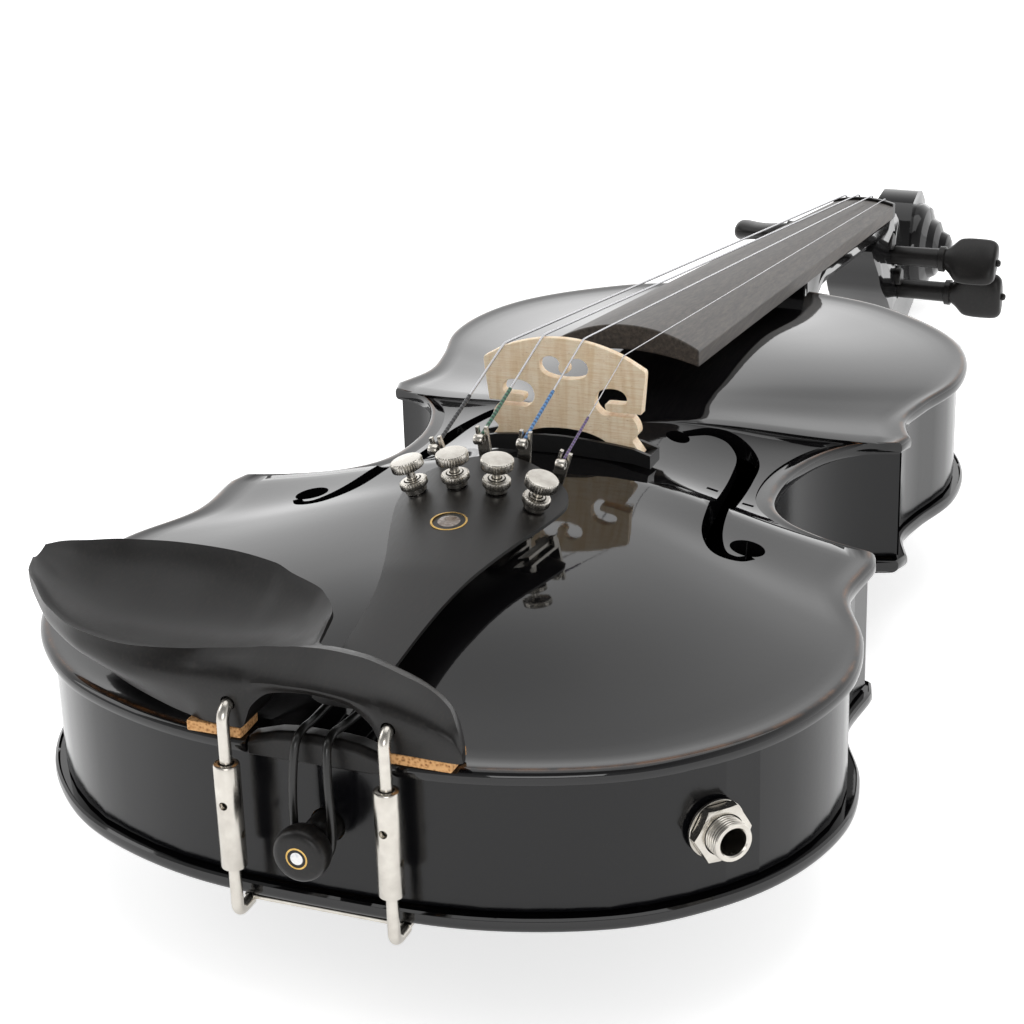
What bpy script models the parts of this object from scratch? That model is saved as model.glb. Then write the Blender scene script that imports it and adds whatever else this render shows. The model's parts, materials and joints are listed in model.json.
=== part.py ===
"""Acoustic-electric violin, full size, lying on its back.

The scroll points to +Y and the treble side is +X. Lengths are in millimetres from the body's
tail edge and the blocks' feet; the helpers turn them to metres from the middle of the object's
box, at the height of its lowest point.
"""
import math

import bmesh
import bpy
import numpy as np
from mathutils import Matrix, Vector
from mathutils.bvhtree import BVHTree

MM = 0.001
GAP = 0.3
BOX_MIDDLE = (0.0, 279.3, -29.5)

# Body
BODY_LENGTH = 352.0
BACK_LOW = -2.2
BACK_EDGE = 1.5
RIB_BOTTOM = 1.8
RIB_TOP = 34.0
TOP_UNDER = 34.3
TOP_EDGE = 38.0
TOP_ARCH = 10.5
BACK_ARCH = 11.0
PLATE_THICKNESS = 3.0
OVERHANG = 2.8
RIB_THICKNESS = 1.2
SPINE = (95.0, 235.0)
OUTER_RINGS = (0.0, 0.05, 0.2, 0.42, 0.7, 1.0)
INNER_RINGS = (0.0, 0.2, 0.45, 1.0)

# Half outline, treble side, from the tail to the neck
LOWER_BOUT = [(0, 0), (35, 2.0), (65, 12.5), (84.5, 28.5), (97, 48), (102.6, 71), (99.8, 93), (91, 115), (91.8, 137)]
WAIST = [(90.3, 142.5), (78, 147), (66, 154.5), (58.3, 164.5), (55.5, 177), (56.3, 192), (61, 207), (68.5, 217),
         (78.5, 221)]
UPPER_BOUT = [(80, 226), (75.6, 240), (77.6, 256), (82.4, 276), (81, 296), (73, 315), (57, 332), (35, 345.5), (0, 352)]

# Neck, board and strings
NUT_Y = 486.5
NUT_LENGTH = 4.2
BOARD_END = 212.0
BOARD_AT_NUT = 31.6
BOARD_SLOPE = 0.1335
BOARD_RADIUS = 42.0
BOARD_EDGE = 5.0
BOARD_HALF = (21.2, 12.0)
HEEL_HALF = 16.0
HEEL_FACE = 343.5
BRIDGE_Y = 159.5
STRING_NAMES = ("g", "d", "a", "e")
STRING_RADIUS = {"g": 0.4, "d": 0.38, "a": 0.34, "e": 0.16}
AT_NUT = {"g": -8.1, "d": -2.7, "a": 2.7, "e": 8.1}
AT_BRIDGE = {"g": -17.0, "d": -5.7, "a": 5.7, "e": 17.0}
AT_PEG = {"g": -4.5, "d": -1.6, "a": 1.6, "e": 4.5}
PEG_AT = {"g": (493.8, 13.8), "e": (499.0, 6.8), "d": (503.0, -3.0), "a": (508.0, -9.4)}
PEG_SIDE = {"g": -1, "d": -1, "a": 1, "e": 1}
PEG_TURN = {"g": 100.0, "d": 65.0, "a": 4.0, "e": -38.0}
PEG_OUT = {"g": 1.5, "d": 0.0, "a": 0.8, "e": 0.0}
SCROLL_EYE = (551.0, -5.0)

# Tailpiece and tuners
TUNER_AT = {"g": (-16.6, 98.4), "d": (-6.4, 100.2), "a": (4.4, 99.6), "e": (15.2, 97.2)}
TUNER_ROLL = {"g": -15.0, "d": -5.0, "a": 6.0, "e": 19.0}
TUNER_PITCH = 6.6
TAIL_RADIUS = 55.0
PIVOT_Y = {"g": 13.6, "d": 15.6, "a": 16.2, "e": 14.6}
PIVOT_Z = -7.2

# Chin rest clamp
LEG_X = (-18.6, 20.0)
LEG_Y = -4.5
BARREL_Z = (8.2, 34.2)
ROD_RADIUS = 1.45

# End button
BUTTON_X = 1.6
BUTTON_Z = 18.4

# Output jack
JACK_NEAR = (85.0, 32.5)
JACK_Z = 18.0

FINISHES = {
    "black_lacquer": ((0.006, 0.006, 0.007), 0.07, 0.0),
    "ebony": ((0.014, 0.013, 0.013), 0.38, 0.0),
    "board_ebony": ((0.045, 0.04, 0.038), 0.55, 0.0),
    "black_plastic": ((0.01, 0.01, 0.01), 0.35, 0.0),
    "maple": ((0.72, 0.52, 0.32), 0.5, 0.0),
    "spruce": ((0.7, 0.5, 0.28), 0.6, 0.0),
    "nickel": ((0.78, 0.75, 0.7), 0.2, 1.0),
    "cork": ((0.6, 0.36, 0.17), 0.85, 0.0),
    "string_metal": ((0.7, 0.7, 0.72), 0.25, 1.0),
    "cable": ((0.02, 0.02, 0.02), 0.5, 0.0),
}


def clear_scene():
    for item in list(bpy.data.objects):
        bpy.data.objects.remove(item, do_unlink=True)


def paint(item, finish):
    colour, roughness, metallic = FINISHES[finish]
    material = bpy.data.materials.new(item.name + "_" + finish)
    material.use_nodes = True
    shader = material.node_tree.nodes["Principled BSDF"]
    shader.inputs["Base Color"].default_value = (*colour, 1.0)
    shader.inputs["Roughness"].default_value = roughness
    shader.inputs["Metallic"].default_value = metallic
    item.data.materials.append(material)


def finish_mesh(name, shape, finish=None, place=None, smooth=30.0):
    """Turns a bmesh in millimetres into an object, or into a cutter if it has no finish."""
    bmesh.ops.remove_doubles(shape, verts=shape.verts, dist=0.002)
    bmesh.ops.dissolve_degenerate(shape, edges=shape.edges, dist=0.002)
    bmesh.ops.recalc_face_normals(shape, faces=shape.faces)
    bmesh.ops.scale(shape, vec=(MM, MM, MM), verts=shape.verts)
    mesh = bpy.data.meshes.new(name)
    shape.to_mesh(mesh)
    shape.free()
    item = bpy.data.objects.new(name, mesh)
    bpy.context.scene.collection.objects.link(item)
    place = Matrix.Translation(BOX_MIDDLE).inverted() @ (place or Matrix.Identity(4))
    place.translation = place.translation * MM
    item.matrix_world = place
    if finish is None:
        item.hide_render = True
        item.display_type = "WIRE"
        return item
    mesh.shade_smooth()
    mesh.set_sharp_from_angle(angle=math.radians(smooth))
    paint(item, finish)
    return item


def boolean(item, other, operation):
    modifier = item.modifiers.new(other.name, "BOOLEAN")
    modifier.object = other
    modifier.operation = operation
    modifier.solver = "EXACT"
    other.hide_render = True
    other.display_type = "WIRE"


def cut(item, *cutters):
    for cutter in cutters:
        boolean(item, cutter, "DIFFERENCE")


def loft(rings, capped=True):
    """Bridges closed rings of equally many points, in order, and caps both ends."""
    shape = bmesh.new()
    rows = [[shape.verts.new(Vector(point)) for point in ring] for ring in rings]
    count = len(rows[0])
    for row, after in zip(rows, rows[1:]):
        for i in range(count):
            j = (i + 1) % count
            shape.faces.new((row[i], row[j], after[j], after[i]))
    if capped:
        shape.faces.new(rows[0][::-1])
        shape.faces.new(rows[-1])
    return shape


def prism(outline, low, high, axis="z"):
    """Extrudes a flat outline between two heights along an axis."""
    def corner(a, b, height):
        return {"z": (a, b, height), "x": (height, a, b), "y": (a, height, b)}[axis]
    return loft([[corner(a, b, height) for a, b in outline] for height in (low, high)])


def turned(profile, steps=20, turn=0.0):
    """Spins (radius, height) points about Z; a zero radius closes the shape."""
    angles = [math.radians(turn) + 2 * math.pi * i / steps for i in range(steps)]
    rings = [[(max(r, 0.001) * math.cos(a), max(r, 0.001) * math.sin(a), h) for a in angles] for r, h in profile]
    return loft(rings, capped=True)


def tube_ring(profile, steps=20):
    """Spins a closed (radius, height) section about Z into a ring with a hole."""
    rings = []
    for i in range(steps + 1):
        a = 2 * math.pi * (i % steps) / steps
        rings.append([(r * math.cos(a), r * math.sin(a), h) for r, h in profile])
    return loft(rings, capped=False)


def box(low, high):
    return prism([(low[0], low[1]), (high[0], low[1]), (high[0], high[1]), (low[0], high[1])], low[2], high[2])


def round_pin(start, end, radius, steps=12):
    """A cylinder between two points, as a bmesh."""
    start, end = Vector(start), Vector(end)
    turn = (end - start).to_track_quat("Z", "Y").to_matrix().to_4x4()
    shape = turned([(radius, 0), (radius, (end - start).length)], steps)
    bmesh.ops.transform(shape, matrix=Matrix.Translation(start) @ turn, verts=shape.verts)
    return shape


def cord(name, points, radius, finish, resolution=1):
    """A round cord along its points, in millimetres."""
    curve = bpy.data.curves.new(name, "CURVE")
    curve.dimensions = "3D"
    spline = curve.splines.new("POLY")
    spline.points.add(len(points) - 1)
    for point, place in zip(spline.points, points):
        point.co = (place[0] * MM, place[1] * MM, place[2] * MM, 1.0)
    curve.bevel_depth = radius * MM
    curve.bevel_resolution = resolution
    curve.render_resolution_u = 0
    curve.use_fill_caps = True
    item = bpy.data.objects.new(name, curve)
    item.location = [-value * MM for value in BOX_MIDDLE]
    bpy.context.scene.collection.objects.link(item)
    paint(item, finish)
    return item


def smooth_path(points, per_span, mirror_start=False, mirror_end=False):
    """Catmull-Rom points through a list; a mirrored end meets x = 0 squarely."""
    path = [np.array(p, float) for p in points]
    flip = np.ones(len(path[0]))
    flip[0] = -1
    first = path[1] * flip if mirror_start else 2 * path[0] - path[1]
    last = path[-2] * flip if mirror_end else 2 * path[-1] - path[-2]
    path = [first] + path + [last]
    result = []
    for a, b, c, d in zip(path, path[1:], path[2:], path[3:]):
        for k in range(per_span):
            t = k / per_span
            result.append(0.5 * (2 * b + (c - a) * t + (2 * a - 5 * b + 4 * c - d) * t ** 2
                                 + (3 * b - a - 3 * c + d) * t ** 3))
    result.append(path[-2])
    return np.array(result)


def mirrored(points):
    return points[::-1] * np.array([-1.0, 1.0])


def body_stretches():
    """Lower bout, treble waist, upper bout and bass waist, anticlockwise from above."""
    lower = smooth_path(LOWER_BOUT, 2, mirror_start=True)
    waist = smooth_path(WAIST, 2)
    upper = smooth_path(UPPER_BOUT, 2, mirror_end=True)
    return [
        np.concatenate([mirrored(lower)[:-1], lower]),
        waist,
        np.concatenate([upper, mirrored(upper)[1:]]),
        mirrored(waist),
    ]


def offset(points, distance):
    """The path moved to its left, and lengthened a little at both ends so that neighbours cross."""
    tangent = np.gradient(points, axis=0)
    tangent /= np.linalg.norm(tangent, axis=1)[:, None]
    moved = points + distance * np.stack([-tangent[:, 1], tangent[:, 0]], axis=1)
    return np.concatenate([[moved[0] - 4 * tangent[0]], moved, [moved[-1] + 4 * tangent[-1]]])


def crossing(first, second):
    """Where the end of one path meets the start of the next: indices and the point."""
    for i in range(len(first) - 2, len(first) // 2, -1):
        for j in range(len(second) // 2):
            a, b, c, d = first[i], first[i + 1], second[j], second[j + 1]
            r, s, q = b - a, d - c, c - a
            across = r[0] * s[1] - r[1] * s[0]
            if abs(across) < 1e-9:
                continue
            t = (q[0] * s[1] - q[1] * s[0]) / across
            u = (q[0] * r[1] - q[1] * r[0]) / across
            if 0 <= t <= 1 and 0 <= u <= 1:
                return i, j, a + t * r
    raise ValueError("the inset stretches do not meet")


def inset_stretches(distance):
    """The four stretches moved inwards and trimmed where they meet in the corners."""
    moved = [offset(points, distance) for points in body_stretches()]
    meets = [crossing(moved[k], moved[(k + 1) % 4]) for k in range(4)]
    trimmed = []
    for k in range(4):
        before, after = meets[k - 1], meets[k]
        middle = moved[k][before[1] + 1:after[0] + 1]
        trimmed.append(np.concatenate([[before[2]], middle, [after[2]]]))
    return trimmed


def inset_loop(distance):
    return np.concatenate([points[:-1] for points in inset_stretches(distance)])


def arch(t):
    return (1 - math.cos(math.pi * min(1.0, 1.2 * t))) / 2


def plate_rings(edge, rise, steps):
    """Rings from the outline to the spine line, at edge + rise * arch."""
    outline = np.concatenate(body_stretches())
    rings = []
    for t in steps:
        spine_y = SPINE[0] + outline[:, 1] / BODY_LENGTH * (SPINE[1] - SPINE[0])
        spine = np.stack([np.zeros(len(outline)), spine_y], axis=1)
        flat = outline * (1 - t) + spine * t
        rings.append([(x, y, edge + rise * arch(t)) for x, y in flat])
    return rings


def plate(outer, inner, limit):
    """A carved plate between two sets of rings; the inner one never passes the edge's inner face."""
    inner = [[(x, y, limit(z)) for x, y, z in ring] for ring in inner]
    return loft(outer[::-1] + inner, capped=False)


def surface(shape):
    return BVHTree.FromBMesh(shape)


def height(tree, x, y, start, down):
    hit = tree.ray_cast(Vector((x, y, start)), Vector((0, 0, -1 if down else 1)))
    return hit[0].z


def f_hole(side):
    """The f-shaped opening as one outline: an S-shaped band between two round eyes."""
    centre = smooth_path([(24.5, 188.5, 1.3), (30, 194.5, 1.8), (37, 195.5, 2.9), (42.7, 189, 3.4), (44.6, 177, 3.4),
                          (46, 161, 3.3), (48, 144, 3.2), (50.8, 130, 3.1), (55.5, 120.5, 2.4), (60.5, 119.5, 1.6),
                          (63.5, 123.2, 1.2)], 2)
    tangent = np.gradient(centre[:, :2], axis=0)
    tangent /= np.linalg.norm(tangent, axis=1)[:, None]
    normal = np.stack([-tangent[:, 1], tangent[:, 0]], axis=1)
    left = centre[:, :2] + normal * centre[:, 2:]
    right = centre[:, :2] - normal * centre[:, 2:]
    band = np.concatenate([left, right[::-1]]) * np.array([side, 1])
    pieces = [prism(band, 30, 60)]
    for x, y, radius in ((23.5, 185.6, 3.3), (61.0, 127.2, 4.5)):
        pieces.append(round_pin((side * x, y, 29), (side * x, y, 61), radius, 16))
    return pieces


def make_plates():
    outer = plate_rings(TOP_EDGE, TOP_ARCH, OUTER_RINGS)
    inner = plate_rings(TOP_EDGE - PLATE_THICKNESS, TOP_ARCH, INNER_RINGS)
    top_shape = plate(outer, inner, lambda z: z if z > TOP_EDGE - PLATE_THICKNESS else TOP_UNDER)
    trees = {"top": surface(top_shape)}
    top = finish_mesh("top_plate", top_shape, "black_lacquer")
    for side, label in ((1, "treble"), (-1, "bass")):
        for number, piece in enumerate(f_hole(side)):
            cut(top, finish_mesh(f"f_hole_{label}_{number}", piece))
    cut(top, finish_mesh("saddle_notch", box((-16.2, -5, 30), (18.6, 6.4, 60))))
    cut(top, finish_mesh("neck_notch", box((-HEEL_HALF - GAP, HEEL_FACE - GAP, 30), (HEEL_HALF + GAP, 364, 60))))
    cut(top, finish_mesh("cable_hole", round_pin((6, 160, 40), (6, 160, 60), 1.6, 10)))

    outer = plate_rings(BACK_LOW, -BACK_ARCH, OUTER_RINGS)
    inner = plate_rings(BACK_LOW + PLATE_THICKNESS, -BACK_ARCH, INNER_RINGS)
    back_shape = plate(outer, inner, lambda z: z if z < BACK_LOW + PLATE_THICKNESS else BACK_EDGE)
    trees["back"] = surface(back_shape)
    back = finish_mesh("back_plate", back_shape, "black_lacquer")
    button = finish_mesh("back_button", round_pin((0, 351.5, BACK_LOW + 0.05), (0, 351.5, BACK_EDGE - 0.05), 11.0, 24))
    boolean(back, button, "UNION")
    return trees


def strip(name, outer, inner):
    """A rib: a bent strip between two paths, standing from back to top."""
    rings = []
    for (ax, ay), (bx, by) in zip(outer, inner):
        rings.append([(ax, ay, RIB_BOTTOM), (ax, ay, RIB_TOP), (bx, by, RIB_TOP), (bx, by, RIB_BOTTOM)])
    return finish_mesh(name, loft(rings), "black_lacquer")


def evenly(points, count, ends=0.5):
    """Points spaced evenly along a path, which stops short of both its ends."""
    steps = np.linalg.norm(np.diff(points, axis=0), axis=1)
    along = np.concatenate([[0], np.cumsum(steps)])
    places = np.linspace(ends, along[-1] - ends, count)
    return np.stack([np.interp(places, along, points[:, k]) for k in range(2)], axis=1)


def make_ribs():
    outer = inset_stretches(OVERHANG)
    inner = inset_stretches(OVERHANG + RIB_THICKNESS)
    lower = strip("rib_lower", evenly(outer[0], 45), evenly(inner[0], 45))
    strip("rib_waist_treble", evenly(outer[1], 17), evenly(inner[1], 17))
    strip("rib_waist_bass", evenly(outer[3], 17), evenly(inner[3], 17))
    for side, label in ((1, "treble"), (-1, "bass")):
        halves = []
        for path in (outer[2], inner[2]):
            half = path[path[:, 0] * side > HEEL_HALF + 2 * GAP]
            meet_y = np.interp(HEEL_HALF + 2 * GAP, np.sort(np.abs(half[:, 0]))[:2], (half[:, 1].max(),) * 2)
            meet = np.array([[side * (HEEL_HALF + 2 * GAP), meet_y + 0.4]])
            half = np.concatenate([half, meet]) if side > 0 else np.concatenate([meet, half])
            halves.append(evenly(half, 19, 0.3))
        strip(f"rib_upper_{label}", *halves)
    cut(lower, finish_mesh("button_hole_in_rib", round_pin((BUTTON_X, -4, BUTTON_Z), (BUTTON_X, 12, BUTTON_Z), 4.3, 16)))
    return lower


def jack_frame():
    """Origin on the rib's outer face, Z pointing out of the body."""
    path = inset_stretches(OVERHANG)[0]
    near = np.argmin(np.linalg.norm(path - np.array(JACK_NEAR), axis=1))
    tangent = path[near + 1] - path[near - 1]
    out = Vector((tangent[1], -tangent[0], 0)).normalized()
    turn = out.to_track_quat("Z", "Y").to_matrix().to_4x4()
    return Matrix.Translation((path[near][0], path[near][1], JACK_Z)) @ turn


def make_jack(rib):
    place = jack_frame()
    socket = tube_ring([(4.7, 8.6), (3.3, 8.6), (3.3, -24), (6.8, -24), (6.8, -3.0), (4.7, -3.0)])
    finish_mesh("jack_socket", socket, "nickel", place)
    finish_mesh("jack_washer", tube_ring([(7.0, 1.6), (5.0, 1.6), (5.0, 0.9), (7.0, 0.9)]), "nickel", place)
    nut = finish_mesh("jack_nut", turned([(7.33, 1.9), (7.33, 4.4)], 6), "nickel", place)
    cut(nut, finish_mesh("jack_nut_bore", turned([(5.0, -1), (5.0, 9)], 20), None, place))
    cut(rib, finish_mesh("jack_hole_in_rib", turned([(5.0, -9), (5.0, 9)], 20), None, place))
    return place


def make_blocks():
    loop = inset_loop(OVERHANG + RIB_THICKNESS + GAP)
    inside = finish_mesh("rib_inside", prism(loop, RIB_BOTTOM - 3, RIB_TOP + 3))
    corners = {
        "lower": [(71, 123), (86, 113), (104, 147), (84, 158), (69, 145)],
        "upper": [(60, 236), (62, 210), (84, 210), (90, 236), (76, 249)],
    }
    blocks = {"end_block": [(-23, -5), (23, -5), (23, 19), (-23, 19)],
              "neck_block": [(-26, 329), (26, 329), (26, 360), (-26, 360)]}
    for level, points in corners.items():
        blocks[f"corner_block_{level}_treble"] = points
        blocks[f"corner_block_{level}_bass"] = [(-x, y) for x, y in points[::-1]]
    for name, points in blocks.items():
        block = finish_mesh(name, prism(points, RIB_BOTTOM, RIB_TOP), "spruce")
        boolean(block, inside, "INTERSECT")
        if name == "end_block":
            cut(block, finish_mesh("button_bore", round_pin((BUTTON_X, -6, BUTTON_Z), (BUTTON_X, 25, BUTTON_Z), 4.3, 16)))
        if name == "neck_block":
            mortise = box((-HEEL_HALF - GAP, HEEL_FACE - GAP, 0), (HEEL_HALF + GAP, 364, 50))
            cut(block, finish_mesh("neck_mortise", mortise))


def make_inner_supports(trees):
    rings = []
    for y in np.linspace(72, 284, 15):
        depth = 3 + 7.5 * math.sin(math.pi * (y - 72) / 212) ** 0.7
        roof = min(height(trees["top"], x, y, 20, False) for x in (-20.4, -14.6)) - 0.5
        rings.append([(-20, y, roof - depth), (-15, y, roof - depth), (-15, y, roof), (-20, y, roof)])
    finish_mesh("bass_bar", loft(rings), "spruce")
    rim = [(20 + 3.2 * math.cos(a), 151 + 3.2 * math.sin(a)) for a in np.linspace(0, 2 * math.pi, 9)[:8]]
    floor = max(height(trees["back"], x, y, 20, True) for x, y in rim)
    roof = min(height(trees["top"], x, y, 20, False) for x, y in rim)
    finish_mesh("sound_post", round_pin((20, 151, floor + 0.4), (20, 151, roof - 0.4), 3.1, 12), "spruce")


def board_half(y):
    return np.interp(y, (BOARD_END, NUT_Y), BOARD_HALF)


def board_top(x, y):
    centre = BOARD_AT_NUT + BOARD_SLOPE * (NUT_Y - y)
    return centre - BOARD_RADIUS + math.sqrt(BOARD_RADIUS ** 2 - x ** 2)


def board_bottom(y):
    return board_top(board_half(y), y) - BOARD_EDGE


def make_fingerboard():
    rings = []
    for y in (BOARD_END, 250, 290, 318, 338, 344, 400, NUT_Y - 0.1):
        half = board_half(y)
        hollow = np.interp(y, (338, 344), (3.2, 0.0))
        across = np.linspace(-half, half, 9)
        over = [(x, y, board_top(x, y)) for x in across]
        under = [(x, y, board_bottom(y) + hollow * (1 - (x / half) ** 2)) for x in across[::-1]]
        rings.append(over + under)
    finish_mesh("fingerboard", loft(rings), "board_ebony")


def make_nut():
    rings = []
    for x in np.linspace(-11.8, 11.8, 9):
        crown = board_top(x, NUT_Y) + 1.0
        rings.append([(x, NUT_Y + 0.2, 24.6), (x, NUT_Y + NUT_LENGTH, 24.6), (x, NUT_Y + NUT_LENGTH, crown - 0.8),
                      (x, NUT_Y + 0.2, crown)])
    finish_mesh("nut", loft(rings), "ebony")


def neck_ring(y, bottom, half, square=0.0):
    """A neck section: flat top, rounded belly; square makes the belly boxier."""
    top = board_bottom(y) - GAP
    ring = [(half, y, top), (-half, y, top)]
    for angle in np.linspace(180, 360, 11)[1:-1]:
        c, s = math.cos(math.radians(angle)), math.sin(math.radians(angle))
        power = 1 - 0.55 * square
        x = half * math.copysign(abs(c) ** power, c)
        ring.append((x, y, top + (top - bottom) * math.copysign(abs(s) ** power, s)))
    return ring


HEAD = [(474, 23.4), (491.4, 24.2), (496, 24.5), (503, 20), (510, 11), (516, 1), (521, -4), (526, -4), (530, 3),
        (534, 11), (541, 16.5), (551, 18.5), (560, 16.5), (567, 11), (571, 2), (571.5, -8), (568, -17), (560, -24),
        (548, -28), (534, -29.5), (518, -27), (504, -22), (492, -14.5), (483, -6.5), (478, -2.5), (474.5, 1.5),
        (472, 7), (467, 13.5), (464, 18)]
PEGBOX = [(491.2, 34), (491.2, 19), (489.8, 17), (489.8, 7), (491.5, -3), (496, -12), (503, -18), (512, -19),
          (517, -13), (516, -4), (512, 6), (505, 17), (503, 34)]


def head_half(y):
    return float(np.interp(y, (464, 484, 525, 545, 575), (9.5, 11.6, 9.0, 7.2, 6.2)))


def make_neck():
    stations = [(HEEL_FACE, 2.0, HEEL_HALF, 1.0), (353, 2.0, 13.5, 0.9), (360, 3.4, 13, 0.7), (366, 10, 14, 0.4),
                (371, 19, 14.5, 0.2), (378, 25.0, 14.6, 0), (392, 25.4, 14.8, 0), (430, 21.0, 13.7, 0),
                (465, 17.0, 12.6, 0), (482, 14, 12.0, 0)]
    rings = [neck_ring(y, bottom, half, square) for y, bottom, half, square in stations]
    neck = finish_mesh("neck_scroll", loft(rings), "black_lacquer")
    sides = [[(sign * head_half(y), y, z) for y, z in HEAD] for sign in (-1, 1)]
    boolean(neck, finish_mesh("head_block", loft(sides)), "UNION")
    eye_turn = Matrix.Translation((0, *SCROLL_EYE)) @ Matrix.Rotation(math.radians(90), 4, "Y")
    steps = [(3.4, 21.6), (6.2, 20.2), (7.4, 17.6), (11.0, 16.0), (12.4, 13.4), (16.5, 11.8), (18.0, 9.2)]
    volute = turned([(r, -h) for r, h in steps] + [(r, h) for r, h in steps[::-1]], 24)
    boolean(neck, finish_mesh("volute", volute, None, eye_turn), "UNION")
    cavity = finish_mesh("pegbox_cavity", prism(PEGBOX, -7.3, 7.3, "x"))
    cut(neck, cavity)
    for name in STRING_NAMES:
        y, z = PEG_AT[name]
        bore = round_pin((-31, y, z), (32, y, z), 4.3, 14)
        cut(neck, finish_mesh(f"peg_bore_{name}", bore))


def make_peg(name):
    """A tuning peg along its own Z, from the far wall of the pegbox to the thumb piece."""
    sections = [(-12.4, 2.9, 2.9), (-12.0, 3.3, 3.3), (27.8, 3.9, 3.9), (28.2, 4.9, 4.9), (30.2, 5.0, 5.0),
                (30.7, 4.0, 4.0), (32.4, 5.6, 3.8), (35, 8.6, 3.6), (40, 9.5, 3.3), (46, 9.4, 3.7),
                (49.3, 8.4, 3.9), (50.4, 6.4, 2.8)]
    angles = np.linspace(0, 2 * math.pi, 17)[:16]
    rings = [[(a * math.cos(t), b * math.sin(t), z) for t in angles] for z, a, b in sections]
    y, z = PEG_AT[name]
    turn = Matrix.Rotation(math.radians(90 * PEG_SIDE[name]), 4, "Y") @ Matrix.Rotation(
        math.radians(PEG_TURN[name]), 4, "Z")
    finish_mesh(f"peg_{name}", loft(rings), "ebony", Matrix.Translation((PEG_SIDE[name] * PEG_OUT[name], y, z)) @ turn)


# Tailpiece stations along Y: middle and half width in X
TAIL_STATIONS = {
    9.5: (2.9, 6.6), 12: (3.1, 7.2), 18: (3.2, 7.3), 26: (3.3, 7.4), 38: (3.2, 8.0), 50: (3.0, 9.2), 63: (2.2, 11.9),
    79: (0.6, 16.2), 92: (-0.2, 19.8), 100: (-0.4, 21.3), 105: (-0.5, 21.6), 110: (-0.5, 19.6), 113.5: (-0.5, 14.6),
    116.2: (-0.5, 8.0), 117.4: (-0.5, 3.2),
}


def tail_top(x, y):
    """The tailpiece's upper face."""
    centre = np.interp(y, (0, 20, 60, 118), (45.0, 49.6, 56.8, 63.3))
    middle = np.interp(y, list(TAIL_STATIONS), [station[0] for station in TAIL_STATIONS.values()])
    return float(centre) - TAIL_RADIUS + math.sqrt(TAIL_RADIUS ** 2 - (x - middle) ** 2)


def make_tailpiece():
    rings = []
    for y, (middle, half) in TAIL_STATIONS.items():
        across = [middle + offset for offset in np.linspace(-half, half, 9)]
        belly = np.interp(y, (9, 25), (1.6, 3.7))
        over = [(x, y, tail_top(x, y)) for x in across]
        under = [(x, y, z - 0.9 - belly * (1 - ((x - middle) / half) ** 4)) for x, _, z in over[::-1]]
        rings.append(over + under)
    tail = finish_mesh("tailpiece", loft(rings), "ebony")
    for name in STRING_NAMES:
        place = tuner_frame(name)
        cut(tail, finish_mesh(f"tuner_hole_{name}", turned([(2.5, -9), (2.5, 9)], 16), None, place))


def tuner_frame(name):
    """Origin on the tailpiece's upper face at a tuner's hole, Z along the screw."""
    x, y = TUNER_AT[name]
    turn = Matrix.Rotation(math.radians(TUNER_PITCH), 4, "X") @ Matrix.Rotation(
        math.radians(TUNER_ROLL[name]), 4, "Y")
    return Matrix.Translation((x, y, tail_top(x, y))) @ turn


def make_tuner(name):
    place = tuner_frame(name)
    pivot_y = PIVOT_Y[name]
    head = [(0.8, -6.5), (1.15, -6.2), (1.15, 6.4), (4.2, 6.6), (4.2, 8.8), (3.5, 9.4)]
    finish_mesh(f"tuner_screw_{name}", turned(head, 16), "nickel", place)
    ring = [(2.8, 0.5), (2.8, 1.9), (3.6, 2.0), (3.6, 3.8), (2.3, 3.8), (2.3, 0.5)]
    finish_mesh(f"tuner_nut_{name}", tube_ring(ring, 16), "nickel", place)

    plate_shape = box((-2.6, -4, -5.8), (2.6, pivot_y + 0.4, -5.0))
    body = finish_mesh(f"tuner_body_{name}", plate_shape, "nickel", place)
    post = finish_mesh(f"tuner_post_{name}", turned([(2.0, -5.4), (2.0, 4.0)], 14), None, place)
    boolean(body, post, "UNION")
    for sign in (-1, 1):
        inner, outer = sorted((sign * 2.0, sign * 2.6))
        ear = box((inner, pivot_y - 1.6, PIVOT_Z - 1.3), (outer, pivot_y + 1.0, -5.3))
        side = "right" if sign > 0 else "left"
        boolean(body, finish_mesh(f"tuner_ear_{name}_{side}", ear, None, place), "UNION")
    pin = round_pin((-2.3, pivot_y - 0.2, PIVOT_Z), (2.3, pivot_y - 0.2, PIVOT_Z), 0.55, 8)
    boolean(body, finish_mesh(f"tuner_pin_{name}", pin, None, place), "UNION")
    cut(body, finish_mesh(f"tuner_screw_bore_{name}", turned([(1.45, -9), (1.45, 9)], 12), None, place))

    pivot = place @ Matrix.Translation((0, pivot_y - 0.2, PIVOT_Z))
    reach = -pivot_y - 2.0
    arm = [(reach, -0.55), (-3.0, -0.55), (-1.5, -1.2), (1.6, -1.2), (3.9, 0.4), (4.2, 4.8), (4.4, 14.2),
           (3.3, 14.2), (2.9, 4.8), (2.7, 1.5), (1.3, 1.0), (-1.2, 1.0), (-3.0, 0.35), (reach, 0.35)]
    lever = finish_mesh(f"tuner_lever_{name}", prism(arm, -1.65, 1.65, "x"), "nickel", pivot)
    cut(lever, finish_mesh(f"lever_bore_{name}", round_pin((-5, 0, 0), (5, 0, 0), 0.85, 8), None, pivot))
    cut(lever, finish_mesh(f"fork_slot_{name}", box((-0.75, 1, 10.6), (0.75, 7, 16)), None, pivot))


def fork_point(name):
    """Where a string passes its tuner's fork."""
    return tuner_frame(name) @ Vector((0, PIVOT_Y[name] + 3.7, 5.0))


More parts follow.
